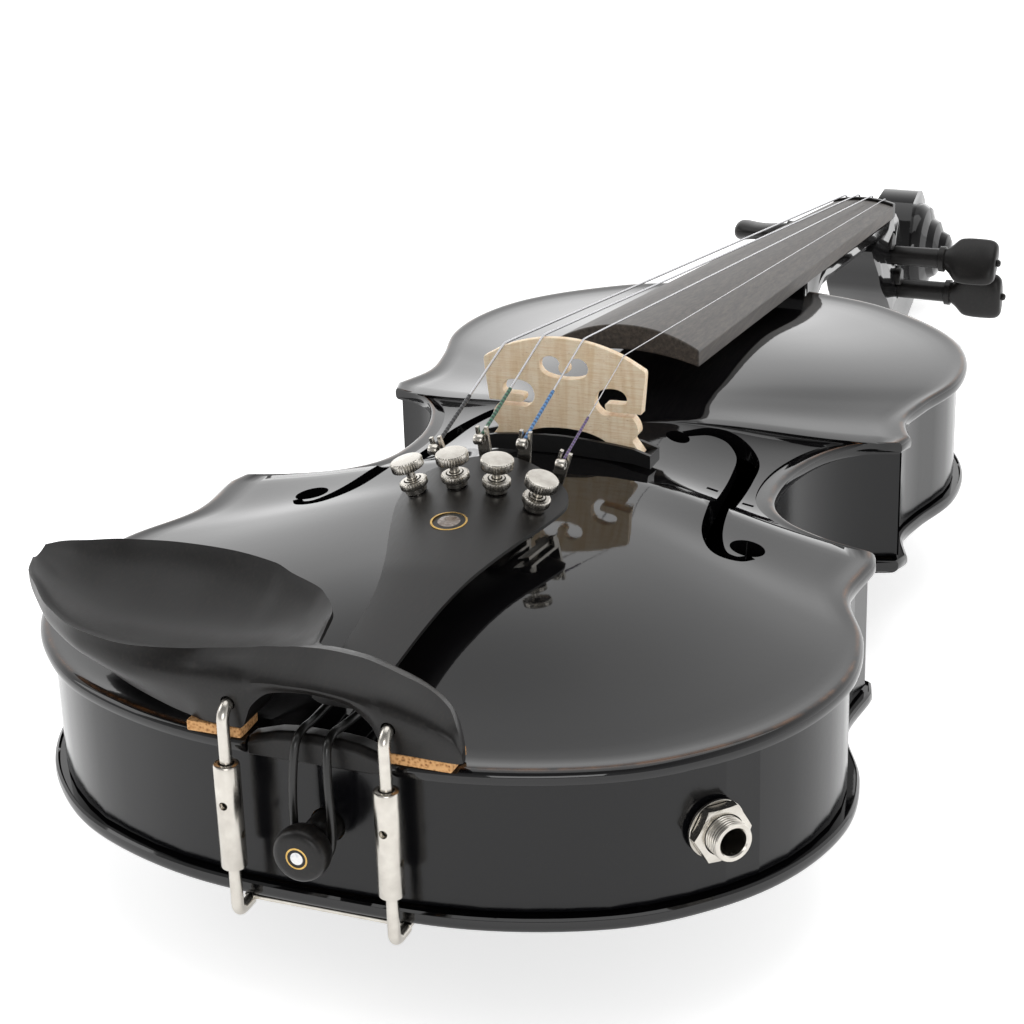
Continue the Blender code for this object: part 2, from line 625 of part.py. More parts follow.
def make_string(name):
    radius = STRING_RADIUS[name]
    tail = fork_point(name)
    bridge_x = AT_BRIDGE[name]
    bridge_z = bridge_top(bridge_x)
    lift = radius + GAP
    end_y = BRIDGE_Y - 0.4
    bridge = (bridge_x, BRIDGE_Y + 0.6, bridge_z + lift)
    nut_x = AT_NUT[name]
    crown = board_top(nut_x, NUT_Y) + 1.0
    peg_y, peg_z = PEG_AT[name]
    wrap = 3.9 + lift
    angle = math.radians({"g": 35, "d": 14, "a": 8, "e": 20}[name])
    peg = (AT_PEG[name], peg_y + wrap * math.cos(angle), peg_z + wrap * math.sin(angle))
    points = [
        (tail.x, tail.y - 1.2, tail.z - 0.3),
        (tail.x + (bridge_x - tail.x) * 0.97, end_y - 1.2, bridge[2] - 0.55),
        bridge,
        (bridge_x * 0.995, BRIDGE_Y + 4.5, bridge[2] - 0.5),
        (nut_x, NUT_Y + 0.3, crown + lift),
        (nut_x * 0.99, NUT_Y + 2.4, crown + lift - 0.25),
        (nut_x * 0.95, NUT_Y + NUT_LENGTH + 0.4, crown + lift - 1.0),
        peg,
    ]
    cord(f"string_{name}", points, radius, "string_metal")


def bridge_top(x):
    return 81.1 - 0.013 * x ** 2


# Half outline of the bridge as (x, z), from the middle of the foot arch round to the top corner
BRIDGE_HALF = [(0, 55.5), (6, 55.0), (10.5, 53.6), (12.2, 52.2), (11.4, 50.2), (20.6, 49.4), (21.9, 50.2),
               (20.4, 52.4), (19.4, 54.2), (20.9, 56.2), (20.6, 58.6), (19.4, 60.5), (12.4, 60.7), (12.4, 61.7),
               (21.8, 61.7), (23.0, 72.0), (22.9, 74.0)]
KIDNEY = [(8.6, 64.4), (9.2, 62.2), (11.0, 60.7), (13.0, 60.7), (13.0, 61.7), (11.8, 62.2), (12.0, 63.9),
          (16.8, 64.2), (17.8, 65.4), (17.0, 67.2), (15.0, 68.1), (12.0, 68.0), (9.6, 66.8)]
HEART = [(0, 73.0), (1.6, 74.6), (4.4, 75.3), (6.6, 74.0), (6.6, 71.9), (4.4, 70.4), (0, 69.8)]


def make_bridge():
    top = [(x, bridge_top(x)) for x in (17, 11.5, 5.8, 0)]
    half = BRIDGE_HALF + top
    outline = half + [(-x, z) for x, z in half[-2:0:-1]]

    def thickness(z):
        return float(np.interp(z, (50, 82), (4.4, 1.7)))

    rings = [[(x, BRIDGE_Y, z) for x, z in outline], [(x, BRIDGE_Y + thickness(z), z) for x, z in outline]]
    bridge = finish_mesh("bridge", loft(rings), "maple")
    heart = HEART + [(-x, z) for x, z in HEART[-2:0:-1]]
    cut(bridge, finish_mesh("bridge_heart", prism(heart, BRIDGE_Y - 5, BRIDGE_Y + 9, "y")))
    for sign in (-1, 1):
        kidney = [(sign * x, z) for x, z in KIDNEY][::sign]
        cut(bridge, finish_mesh("bridge_kidney", prism(kidney, BRIDGE_Y - 5, BRIDGE_Y + 9, "y")))


def make_tray(trees):
    rings = []
    for x in np.linspace(-24.8, 24.8, 11):
        base = max(height(trees["top"], x + dx, y, 80, True) for dx in (-2, 0, 2) for y in (157.5, 165.9)) + 0.35
        base = max(base, 46.0)
        rim = base + 5.0 - 1.2 * (x / 24) ** 2
        end = abs(x) > 24
        floor = rim - 0.1 if end else min(base + 1.0, board_free(x))
        rings.append([(x, 157.8, base), (x, 165.7, base), (x, 165.7, rim), (x, 164.5, rim), (x, 164.5, floor),
                      (x, 159.0, floor), (x, 159.0, rim), (x, 157.8, rim)])
    finish_mesh("pickup_tray", loft(rings), "black_plastic")


def board_free(x):
    """The highest tray floor that stays clear of the bridge's feet."""
    return 49.9 - 0.6 * (x / 20) ** 2 - GAP


def make_cable(place):
    start = place @ Vector((0, 0, -26.5))
    back = place @ Vector((0, 0, -34))
    points = smooth_path([(6, 160, 47.6), (6, 160, 42), (8, 155, 34), (20, 132, 24), (38, 95, 16), (52, 66, 16),
                          tuple(back), tuple(start)], 3)
    cord("pickup_cable", [tuple(p) for p in points], 1.0, "cable")


def make_button_and_gut():
    place = Matrix.Translation((BUTTON_X, 0, BUTTON_Z)) @ Matrix.Rotation(math.radians(90), 4, "X")
    profile = [(3.6, -15), (3.9, -2), (3.9, 1.8), (3.0, 3.0), (3.0, 5.6), (6.0, 7.2), (6.4, 9.5), (6.2, 12.0),
               (5.4, 12.9)]
    finish_mesh("end_button", turned(profile, 20), "ebony", place)
    near = [(4.4, 3.2, 20.0, 44.2), (4.3, 3.0, 14.0, 43.2), (4.0, 2.4, 9.0, 42.7), (3.7, 1.8, 5.0, 42.35),
            (3.6, 1.4, 2.0, 42.35), (3.7, 1.4, -1.2, 41.4), (3.9, 1.4, -2.7, 38.8), (4.3, 1.5, -3.9, 32.0),
            (4.6, 1.6, -4.2, 25.0), (4.4, 1.6, -4.2, 18.4), (3.3, 1.6, -4.2, 15.4), (1.8, 1.6, -4.2, 14.3)]
    loop = [(middle + half, y, z) for half, middle, y, z in near] + [(1.6, -4.2, 14.0)]
    loop += [(middle - half, y, z) for half, middle, y, z in near[::-1]]
    points = [tuple(p) for p in smooth_path(loop, 1)]
    cord("tail_gut", points, 1.0, "ebony")


def make_saddle():
    rings = []
    for x in (-15.9, -13, -9, -5, 1.2, 7, 11, 15, 18.3):
        crown = np.interp(abs(x - 1.2), (0, 7, 11, 14.5, 17.1), (41.0, 41.0, 40.4, 39.2, 38.4))
        rings.append([(x, 0.4, TOP_UNDER), (x, 6.0, TOP_UNDER), (x, 6.0, crown - 0.3), (x, 2.0, crown),
                      (x, 0.4, crown - 1.4)])
    finish_mesh("saddle", loft(rings), "ebony")


# Chin rest sections across X: near face bottom, crease, ridge, dish, far rim and underside as (y, z)
CHIN_STATIONS = {
    -86.0: [(31.5, 54.6), (30.4, 56.0), (30, 57.8), (33, 57.3), (37, 57.4), (41, 58.0), (43, 58.4), (43, 56.6),
            (39, 55.4), (35, 54.8)],
    -81.4: [(24, 51.0), (22.2, 54.0), (22.2, 57.8), (27, 55.2), (34, 54.2), (41, 56.6), (45, 59.0), (45.5, 57.0),
            (38, 51.6), (30, 50.4)],
    -70.0: [(14, 49.4), (10.5, 53.5), (10.0, 58.2), (18, 53.4), (29, 51.8), (40, 55.4), (46.5, 60.2), (47, 58.2),
            (35, 48.6), (24, 48.0)],
    -57.8: [(7.8, 47.8), (3.0, 52.0), (2.6, 57.6), (14, 52.0), (27, 50.2), (41, 54.6), (49, 60.0), (49.5, 58.0),
            (36, 47.6), (22, 46.6)],
    -44.6: [(4.0, 44.2), (-0.4, 50.6), (0.4, 57.0), (13, 51.6), (27, 49.8), (42, 54.0), (50, 59.4), (50.5, 57.4),
            (36, 47.4), (22, 46.4)],
    -31.0: [(1.6, 41.4), (-1.6, 51.6), (2.2, 57.2), (13, 52.2), (26, 50.4), (40, 54.0), (48, 58.6), (48.5, 56.6),
            (35, 47.6), (18, 46.0)],
    -25.6: [(0.0, 41.2), (-1.9, 53.0), (3.8, 57.4), (13, 52.8), (25, 51.0), (37, 54.0), (45.5, 57.8), (46, 55.8),
            (34, 48.6), (14, 41.2)],
    -16.4: [(-0.6, 41.2), (-2.0, 54.0), (6.0, 57.9), (13, 54.6), (21, 53.0), (29, 54.0), (38, 56.8), (38.5, 54.8),
            (28, 50.4), (13, 41.2)],
    -13.6: [(-0.6, 47.0), (-2.0, 54.4), (6.8, 58.2), (12, 55.8), (17, 54.8), (24, 55.0), (32, 56.2), (32.4, 54.4),
            (24, 51.6), (15, 49.6)],
    -8.0: [(-0.7, 50.9), (-2.0, 54.8), (7.6, 58.6), (11, 57.6), (14, 56.6), (17, 56.0), (20, 55.8), (20, 54.0),
           (17, 52.8), (12, 51.6)],
    0.8: [(-0.7, 52.2), (-2.0, 55.0), (8.2, 59.0), (11, 58.4), (13, 57.4), (14.4, 56.4), (15, 55.6), (15, 54.6),
          (13, 53.8), (8, 53.2)],
    9.2: [(-0.7, 51.2), (-2.0, 54.4), (8.2, 58.4), (11, 57.8), (13, 56.6), (14.4, 55.4), (15, 54.4), (15, 53.6),
          (13, 53.0), (8, 52.0)],
    15.2: [(-0.7, 47.2), (-2.0, 53.2), (7.8, 57.2), (10.6, 56.4), (12.6, 55.2), (14, 53.8), (14.8, 52.4),
           (14.8, 51.0), (13, 49.8), (8, 48.6)],
    18.6: [(-0.7, 41.2), (-2.0, 52.4), (7.4, 56.3), (10.4, 55.5), (12.4, 54.0), (13.6, 52.0), (14.2, 49.4),
           (14.2, 46.4), (13.6, 43.4), (12.2, 41.2)],
    26.0: [(-0.8, 41.2), (-2.0, 50.6), (6.2, 54.4), (8.6, 53.6), (10.4, 52.0), (11.6, 49.6), (12.0, 47.0),
           (12.0, 44.6), (11.6, 42.6), (10.8, 41.2)],
    31.5: [(-1.0, 41.2), (-2.0, 48.8), (4.4, 51.6), (6.2, 51.0), (7.6, 49.6), (8.6, 47.6), (9.0, 45.4), (9.0, 43.6),
           (8.8, 42.2), (8.2, 41.2)],
    35.0: [(-1.0, 41.2), (-1.9, 46.6), (0.6, 48.4), (2.0, 47.8), (3.0, 46.6), (3.8, 45.2), (4.2, 44.0), (4.2, 42.8),
           (4.0, 41.9), (3.6, 41.2)],
    36.6: [(-0.9, 41.6), (-1.4, 43.6), (-0.8, 44.3), (-0.2, 44.1), (0.2, 43.7), (0.5, 43.2), (0.6, 42.7),
           (0.6, 42.2), (0.5, 41.8), (0.3, 41.5)],
}


def make_chinrest(trees):
    rings = [[(x, y, z) for y, z in section] for x, section in CHIN_STATIONS.items()]
    rest = finish_mesh("chinrest", loft(rings), "ebony", None, 50.0)
    for number, x in enumerate(LEG_X):
        hole = round_pin((x, -6, 47.6), (x, 8.5, 47.6), ROD_RADIUS + GAP, 12)
        cut(rest, finish_mesh(f"leg_hole_{number}", hole))
    for label, low, high in (("left", -30.2, -16.8), ("right", 19.0, 33.6)):
        rows = (-0.4, 2.5, 5.5, 8.2)
        under = [(y, max([38.3] + [height(trees["top"], x, max(y, 3.0), 80, True) + GAP
                                   for x in np.linspace(low, high, 5)])) for y in rows]
        pad = prism(under + [(8.2, 40.9), (-0.4, 40.9)], low, high, "x")
        finish_mesh(f"chinrest_cork_{label}", pad, "cork")


def make_clamp():
    for label, x in zip(("left", "right"), LEG_X):
        bend = [(x, LEG_Y, 22.5), (x, LEG_Y, 34.0), (x, LEG_Y, 44.4), (x, LEG_Y + 0.35, 46.2), (x, LEG_Y + 1.4, 47.3),
                (x, LEG_Y + 3.2, 47.6), (x, LEG_Y + 10.5, 47.6)]
        cord(f"chinrest_leg_{label}", bend, ROD_RADIUS, "nickel", 2)
        low, high = BARREL_Z
        barrel = tube_ring([(2.7, 0), (3.0, 0.3), (3.0, high - low - 0.3), (2.7, high - low),
                            (1.85, high - low), (1.85, 0)], 16)
        place = Matrix.Translation((x, LEG_Y, low))
        item = finish_mesh(f"chinrest_barrel_{label}", barrel, "nickel", place)
        for number, z in enumerate((8.6, 16.6)):
            across = (6, 0) if number == 0 else (0, 6)
            key = round_pin((-across[0], -across[1], z), (across[0], across[1], z), 0.8, 8)
            cut(item, finish_mesh(f"key_hole_{label}_{number}", key, None, place))
    bar = box((LEG_X[0] - 1.45, 0.3, -3.6), (LEG_X[1] + 1.45, 6.2, -2.52))
    bracket = finish_mesh("chinrest_lower_bracket", bar, "nickel")
    for number, x in enumerate(LEG_X):
        upright = round_pin((x, LEG_Y, -3.3), (x, LEG_Y, 19.5), ROD_RADIUS, 12)
        foot = box((x - 1.3, LEG_Y - 1.0, -3.58), (x + 1.3, 2.0, -2.52))
        boolean(bracket, finish_mesh(f"lower_rod_{number}", upright), "UNION")
        boolean(bracket, finish_mesh(f"lower_foot_{number}", foot), "UNION")


def main():
    clear_scene()
    trees = make_plates()
    rib = make_ribs()
    place = make_jack(rib)
    make_blocks()
    make_inner_supports(trees)
    make_neck()
    make_fingerboard()
    make_nut()
    make_tailpiece()
    for name in STRING_NAMES:
        make_peg(name)
        make_tuner(name)
        make_string(name)
    make_bridge()
    make_tray(trees)
    make_cable(place)
    make_button_and_gut()
    make_saddle()
    make_chinrest(trees)
    make_clamp()


main()
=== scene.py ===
# %% [markdown]
# # A full-size acoustic-electric violin, lying on its back
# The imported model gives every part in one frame, in metres. This lesson puts finely shaped and finished
# pieces over it: lacquered plates, a carved chin rest, fittings, strings with their silk, and the clamp.

# %% Load the frame and keep its box
import json
import math

import bmesh
import bpy
import numpy as np
from mathutils import Matrix, Vector
from mathutils.kdtree import KDTree


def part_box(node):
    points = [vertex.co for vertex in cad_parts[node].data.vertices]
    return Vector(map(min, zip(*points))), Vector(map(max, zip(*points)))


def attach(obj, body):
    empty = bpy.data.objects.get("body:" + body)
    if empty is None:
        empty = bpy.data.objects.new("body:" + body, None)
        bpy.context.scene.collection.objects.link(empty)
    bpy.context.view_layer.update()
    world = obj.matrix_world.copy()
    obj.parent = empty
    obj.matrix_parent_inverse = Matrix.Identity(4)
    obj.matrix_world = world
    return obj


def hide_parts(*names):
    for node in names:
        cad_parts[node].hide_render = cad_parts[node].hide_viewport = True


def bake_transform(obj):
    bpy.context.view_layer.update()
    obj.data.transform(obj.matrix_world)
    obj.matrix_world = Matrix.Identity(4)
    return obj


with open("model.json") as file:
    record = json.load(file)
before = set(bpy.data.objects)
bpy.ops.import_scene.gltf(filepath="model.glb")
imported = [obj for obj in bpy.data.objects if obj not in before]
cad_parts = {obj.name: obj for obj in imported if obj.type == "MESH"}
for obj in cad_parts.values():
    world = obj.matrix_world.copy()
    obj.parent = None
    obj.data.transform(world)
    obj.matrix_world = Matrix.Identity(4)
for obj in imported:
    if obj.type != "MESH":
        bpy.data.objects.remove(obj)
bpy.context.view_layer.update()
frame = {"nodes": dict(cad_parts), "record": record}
NODES = frame["nodes"]
BODY_OF = {node: body for body, nodes in frame["record"]["behaviour"]["bodies"].items() for node in nodes}
SLOT_OF = {part["node"]: part["material_slot"] for part in frame["record"]["subparts"]}

# %% [markdown]
# ## The camera
# The lengths below are the maker's drawing millimetres: Y runs from the tail edge of the body to the
# scroll, X to the treble side, Z out of the top plate. BOX_MIDDLE is where the frame's origin lies in
# them. The camera stands at the tail end, a little to the treble side, and looks down by about 22 degrees.

# %% Set the camera
MM = 0.001
BOX_MIDDLE = Vector((0.0, 279.3, -29.5))
CAMERA_AT = (225.474, -429.742, 293.585)
CAMERA_AZIMUTH = 0.389141693
CAMERA_ELEVATION = 0.393658173
CAMERA_ROLL = -0.0311588222
CAMERA_LENS = 87.745


def at(x, y, z):
    """A drawing point in millimetres as a point of the frame in metres."""
    return (Vector((x, y, z)) - BOX_MIDDLE) * MM


camera = bpy.data.objects.new("camera", bpy.data.cameras.new("camera"))
bpy.context.scene.collection.objects.link(camera)
bpy.context.scene.camera = camera
look = Vector((-math.sin(CAMERA_AZIMUTH) * math.cos(CAMERA_ELEVATION),
               math.cos(CAMERA_AZIMUTH) * math.cos(CAMERA_ELEVATION), -math.sin(CAMERA_ELEVATION)))
level = look.cross(Vector((0, 0, 1))).normalized()
upright = level.cross(look)
cos_roll, sin_roll = math.cos(CAMERA_ROLL), math.sin(CAMERA_ROLL)
turn = Matrix((cos_roll * level + sin_roll * upright, -sin_roll * level + cos_roll * upright,
               -look)).transposed()
camera.matrix_world = Matrix.Translation(at(*CAMERA_AT)) @ turn.to_4x4()
camera.data.lens = CAMERA_LENS
camera.data.sensor_width = 36.0
camera.data.clip_start = 0.01
print("camera", [round(v, 4) for v in camera.location])

# %% [markdown]
# ## Colours and nodes
# Colours are written as the sRGB hex values that a paint chart gives, and one function turns them to the
# linear values that the shader wants. One small function adds any node with its settings and links.

# %% Colour and node helpers


def linear(hex_colour):
    """An sRGB hex colour as linear RGBA."""
    values = [int(hex_colour[i:i + 2], 16) / 255 for i in (1, 3, 5)]
    return (*[v / 12.92 if v <= 0.04045 else ((v + 0.055) / 1.055) ** 2.4 for v in values], 1.0)


def add_node(tree, kind, settings=None, **inputs):
    """Adds a node with its settings. An input is a socket to link or a value to set.

    In an input's name an underscore stands for a space, and i0 is the first input. The setting called
    stops gives a colour ramp its (position, hex colour) pairs, from low to high.
    """
    node = tree.nodes.new("ShaderNode" + kind)
    for name, value in (settings or {}).items():
        if name != "stops":
            setattr(node, name, value)
    for i, (position, colour) in enumerate((settings or {}).get("stops", [])):
        elements = node.color_ramp.elements
        stop = elements[i] if i < len(elements) else elements.new(position)
        stop.position = position
        stop.color = linear(colour)
    for name, value in inputs.items():
        socket = node.inputs[int(name[1:])] if name[0] == "i" and name[1:].isdigit() else node.inputs[
            name.replace("_", " ")]
        if isinstance(value, bpy.types.NodeSocket):
            tree.links.new(value, socket)
        else:
            socket.default_value = value
    return node


def new_material(name, **shader_values):
    """A material with its Principled shader, and the tree to add a pattern to."""
    material = bpy.data.materials.new(name)
    material.use_nodes = True
    shader = material.node_tree.nodes["Principled BSDF"]
    for socket, value in shader_values.items():
        shader.inputs[socket.replace("_", " ")].default_value = value
    return material, material.node_tree, shader


def stretched(tree, x, y, z, turn=(0.0, 0.0, 0.0)):
    """Object coordinates scaled so that a pattern of unit size measures x, y and z millimetres."""
    coordinates = add_node(tree, "TexCoord")
    mapping = add_node(tree, "Mapping", Vector=coordinates.outputs["Object"],
                       Scale=(1000 / x, 1000 / y, 1000 / z), Rotation=turn)
    return mapping.outputs["Vector"]


print("helpers ready")

# %% [markdown]
# ## The finishes
# Gloss polyester lacquer over wood is a thick, hard, almost black film. It mirrors its surroundings, with
# the slightest orange peel left by spraying. Its bead along the plate's edge is rubbed to a thin brown line,
# which follows an attribute named wear that the plate carries.

# %% Black lacquer
lacquer, tree, shader = new_material("sprayed_black_lacquer", Roughness=0.05, IOR=1.5)
peel = add_node(tree, "TexNoise", Vector=stretched(tree, 2.2, 2.2, 2.2), Scale=1.0, Detail=2.0).outputs["Fac"]
haze = add_node(tree, "TexNoise", Vector=stretched(tree, 30, 40, 30), Scale=1.0, Detail=2.0).outputs["Fac"]
worn = add_node(tree, "Attribute", {"attribute_name": "wear"})
broken = add_node(tree, "ValToRGB", {"stops": [(0.35, "#000000"), (0.6, "#ffffff")]},
                  Fac=add_node(tree, "TexNoise", Vector=stretched(tree, 5.0, 5.0, 2.0), Scale=1.0,
                               Detail=4.0).outputs["Fac"]).outputs["Color"]
wear_mask = add_node(tree, "Math", {"operation": "MULTIPLY"}, i0=worn.outputs["Fac"], i1=broken)
film = add_node(tree, "ValToRGB", {"stops": [(0.3, "#08080a"), (0.7, "#0d0c0d")]}, Fac=haze).outputs["Color"]
mixed = add_node(tree, "Mix", {"data_type": "RGBA"}, i0=wear_mask.outputs[0], i6=film,
                 i7=linear("#5a3b22"))
tree.links.new(mixed.outputs[2], shader.inputs["Base Color"])
bump = add_node(tree, "Bump", Height=peel, Distance=0.006 * MM)
tree.links.new(bump.outputs["Normal"], shader.inputs["Normal"])

# %% [markdown]
# The ribs have the same lacquer over a thin strip, sprayed drier. It is less of a mirror, and the sparkles of
# fine metal flakes in it are painted glints: lighter grey specks in its colour, about half a millimetre wide
# so that they show.

# %% Rib lacquer
rib_lacquer, tree, shader = new_material("sparkling_rib_lacquer", Roughness=0.16, Specular_IOR_Level=0.36)
# Painted glints: small lighter specks in the colour at the cells' centres stand in for flakes catching the
# light.
glint_cells = add_node(tree, "TexVoronoi", Vector=stretched(tree, 0.5, 0.5, 0.5), Scale=1.0)
painted_glints = add_node(tree, "ValToRGB", {"stops": [(0.05, "#2e2e33"), (0.14, "#09090b")]},
                 Fac=glint_cells.outputs["Distance"]).outputs["Color"]
tree.links.new(painted_glints, shader.inputs["Base Color"])
dryness = add_node(tree, "MapRange", Value=add_node(tree, "TexNoise", Vector=stretched(tree, 12, 12, 12),
                                                    Scale=1.0, Detail=3.0).outputs["Fac"], To_Min=0.12,
                   To_Max=0.22)
tree.links.new(dryness.outputs[0], shader.inputs["Roughness"])
bump = add_node(tree, "Bump", Height=add_node(tree, "TexNoise", Vector=stretched(tree, 1.4, 1.4, 1.4),
                                              Scale=1.0, Detail=2.0).outputs["Fac"], Distance=0.01 * MM)
tree.links.new(bump.outputs["Normal"], shader.inputs["Normal"])

# %% [markdown]
# Ebony fittings are turned and rubbed to a satin. Ebony is nearly black with fine open pores along the
# grain, so light catches in short scratches that run with the wood. The fingerboard is the same wood
# left dry, so it looks greyer and its grain shows.

# %% Ebony, satin and dry
ebony, tree, shader = new_material("satin_ebony", Roughness=0.36, Specular_IOR_Level=0.34)
grain = add_node(tree, "TexNoise", Vector=stretched(tree, 0.7, 6.0, 0.7), Scale=1.0, Detail=6.0,
                 Roughness=0.6).outputs["Fac"]
tree.links.new(add_node(tree, "ValToRGB", {"stops": [(0.3, "#090808"), (0.55, "#110f0e"), (0.8, "#1f1a16")]},
                        Fac=grain).outputs["Color"],
               shader.inputs["Base Color"])
sheen = add_node(tree, "MapRange", Value=grain, To_Min=0.3, To_Max=0.46)
tree.links.new(sheen.outputs[0], shader.inputs["Roughness"])
bump = add_node(tree, "Bump", Height=grain, Distance=0.02 * MM)
tree.links.new(bump.outputs["Normal"], shader.inputs["Normal"])

board_wood, tree, shader = new_material("dry_board_ebony", Roughness=0.5)
streak = add_node(tree, "TexNoise", Vector=stretched(tree, 0.9, 26.0, 0.9), Scale=1.0, Detail=6.0,
                  Roughness=0.65).outputs["Fac"]
pore = add_node(tree, "TexNoise", Vector=stretched(tree, 0.25, 3.5, 0.25), Scale=1.0, Detail=3.0,
                Roughness=0.6).outputs["Fac"]
both = add_node(tree, "Math", {"operation": "MULTIPLY_ADD"}, i0=pore, i1=0.45, i2=streak)
tree.links.new(add_node(tree, "ValToRGB", {"stops": [(0.45, "#1d1a18"), (0.7, "#3a342f"),
                                                     (0.95, "#544b43")]},
                        Fac=both.outputs[0]).outputs["Color"],
               shader.inputs["Base Color"])
bump = add_node(tree, "Bump", Height=pore, Distance=0.03 * MM)
tree.links.new(bump.outputs["Normal"], shader.inputs["Normal"])

# %% [markdown]
# The bridge is quarter-sawn maple. Its face shows brown flecks where the wood's rays are cut, a fine
# lengthwise grain, and end grain in its edges, and nobody varnishes it.

# %% Maple, spruce and cork
maple, tree, shader = new_material("bare_maple", Roughness=0.48, Subsurface_Weight=0.08,
                                   Subsurface_Radius=(0.002, 0.001, 0.0006))
fleck = add_node(tree, "TexNoise", Vector=stretched(tree, 1.1, 1.1, 0.5), Scale=1.0, Detail=3.0,
                 Roughness=0.55, Distortion=0.4).outputs["Fac"]
fibre = add_node(tree, "TexNoise", Vector=stretched(tree, 5.0, 0.5, 0.3), Scale=1.0, Detail=4.0,
                 Roughness=0.6).outputs["Fac"]
ground = add_node(tree, "ValToRGB", {"stops": [(0.3, "#e8cda8"), (0.5, "#f3dfc2"), (0.75, "#f9ead2")]},
                  Fac=fibre).outputs["Color"]
spots = add_node(tree, "ValToRGB", {"stops": [(0.6, "#000000"), (0.76, "#b0b0b0")]},
                 Fac=fleck).outputs["Color"]
mixed = add_node(tree, "Mix", {"data_type": "RGBA"}, i0=spots, i6=ground, i7=linear("#b07c4c"))
figure = add_node(tree, "ValToRGB", {"stops": [(0.35, "#f2e9dc"), (0.6, "#ffffff")]},
                  Fac=add_node(tree, "TexNoise", Vector=stretched(tree, 1.6, 9.0, 14.0), Scale=1.0,
                               Detail=2.0).outputs["Fac"]).outputs["Color"]
shaded = add_node(tree, "Mix", {"data_type": "RGBA", "blend_type": "MULTIPLY"}, i0=0.8,
                  i6=mixed.outputs[2], i7=figure)
tree.links.new(shaded.outputs[2], shader.inputs["Base Color"])
bump = add_node(tree, "Bump", Height=fibre, Distance=0.02 * MM)
tree.links.new(bump.outputs["Normal"], shader.inputs["Normal"])

spruce, tree, shader = new_material("planed_spruce", Roughness=0.6)
rings = add_node(tree, "TexNoise", Vector=stretched(tree, 1.6, 40.0, 1.6), Scale=1.0,
                 Detail=3.0).outputs["Fac"]
tree.links.new(add_node(tree, "ValToRGB", {"stops": [(0.35, "#a87f4b"), (0.6, "#d3ae78")]},
                        Fac=rings).outputs["Color"], shader.inputs["Base Color"])
bump = add_node(tree, "Bump", Height=rings, Distance=0.03 * MM)
tree.links.new(bump.outputs["Normal"], shader.inputs["Normal"])

cork, tree, shader = new_material("pressed_cork", Roughness=0.85)
cells = add_node(tree, "TexVoronoi", Vector=stretched(tree, 0.8, 0.8, 0.8), Scale=1.0)
crumb = add_node(tree, "TexNoise", Vector=stretched(tree, 0.5, 0.5, 0.5), Scale=1.0,
                 Detail=4.0).outputs["Fac"]
mottle = add_node(tree, "Math", {"operation": "MULTIPLY_ADD"}, i0=crumb, i1=0.6,
                  i2=cells.outputs["Distance"])
tree.links.new(add_node(tree, "ValToRGB", {"stops": [(0.35, "#6e4a2b"), (0.6, "#b07e4b"),
                                                     (0.95, "#cf9f6a")]},
                        Fac=mottle.outputs[0]).outputs["Color"],
               shader.inputs["Base Color"])
bump = add_node(tree, "Bump", Height=mottle.outputs[0], Distance=0.12 * MM)
tree.links.new(bump.outputs["Normal"], shader.inputs["Normal"])

# %% [markdown]
# The metal fittings are brass with a nickel plate: a warm, soft mirror with faint hand marks. The strings
# are steel cores wound with flat metal ribbon, whose turns are too fine to see, so they are drawn as coarse
# rings, each with painted shade in its groove and a painted highlight on its crown. Silk thread covers the
# strings' ends, one colour to each string, and its turns are painted the same way.

# %% Metals, silks and the rest
nickel, tree, shader = new_material("nickel_plate", Metallic=1.0, Roughness=0.2)
smear = add_node(tree, "TexNoise", Vector=stretched(tree, 3.0, 3.0, 3.0), Scale=1.0,
                 Detail=4.0).outputs["Fac"]
tree.links.new(add_node(tree, "ValToRGB", {"stops": [(0.3, "#bdb8b0"), (0.7, "#cdc9c1")]},
                        Fac=smear).outputs["Color"], shader.inputs["Base Color"])
dulled = add_node(tree, "MapRange", Value=smear, To_Min=0.2, To_Max=0.3)
tree.links.new(dulled.outputs[0], shader.inputs["Roughness"])

brass, tree, shader = new_material("polished_brass", Metallic=1.0, Roughness=0.22)
smear = add_node(tree, "TexNoise", Vector=stretched(tree, 2.0, 2.0, 2.0), Scale=1.0,
                 Detail=3.0).outputs["Fac"]
tree.links.new(add_node(tree, "ValToRGB", {"stops": [(0.3, "#b08d4e"), (0.7, "#d2b06c")]},
                        Fac=smear).outputs["Color"], shader.inputs["Base Color"])

pearl, tree, shader = new_material("mother_of_pearl", Roughness=0.18, Coat_Weight=0.6, Coat_Roughness=0.05)
layers = add_node(tree, "TexNoise", Vector=stretched(tree, 2.2, 2.2, 1.2), Scale=1.0, Detail=5.0,
                  Roughness=0.6, Distortion=1.2).outputs["Fac"]
tree.links.new(add_node(tree, "ValToRGB", {"stops": [(0.3, "#cfd2d6"), (0.5, "#e4e4e4"), (0.7, "#f2eee6")]},
                        Fac=layers).outputs["Color"],
               shader.inputs["Base Color"])
dark_pearl, tree, shader = new_material("smoked_mother_of_pearl", Roughness=0.2, Coat_Weight=0.5,
                                        Coat_Roughness=0.06)
layers = add_node(tree, "TexNoise", Vector=stretched(tree, 1.8, 1.8, 1.2), Scale=1.0, Detail=5.0,
                  Roughness=0.6, Distortion=1.2).outputs["Fac"]
tree.links.new(add_node(tree, "ValToRGB", {"stops": [(0.3, "#54483f"), (0.5, "#74665c"), (0.7, "#958a80")]},
                        Fac=layers).outputs["Color"],
               shader.inputs["Base Color"])


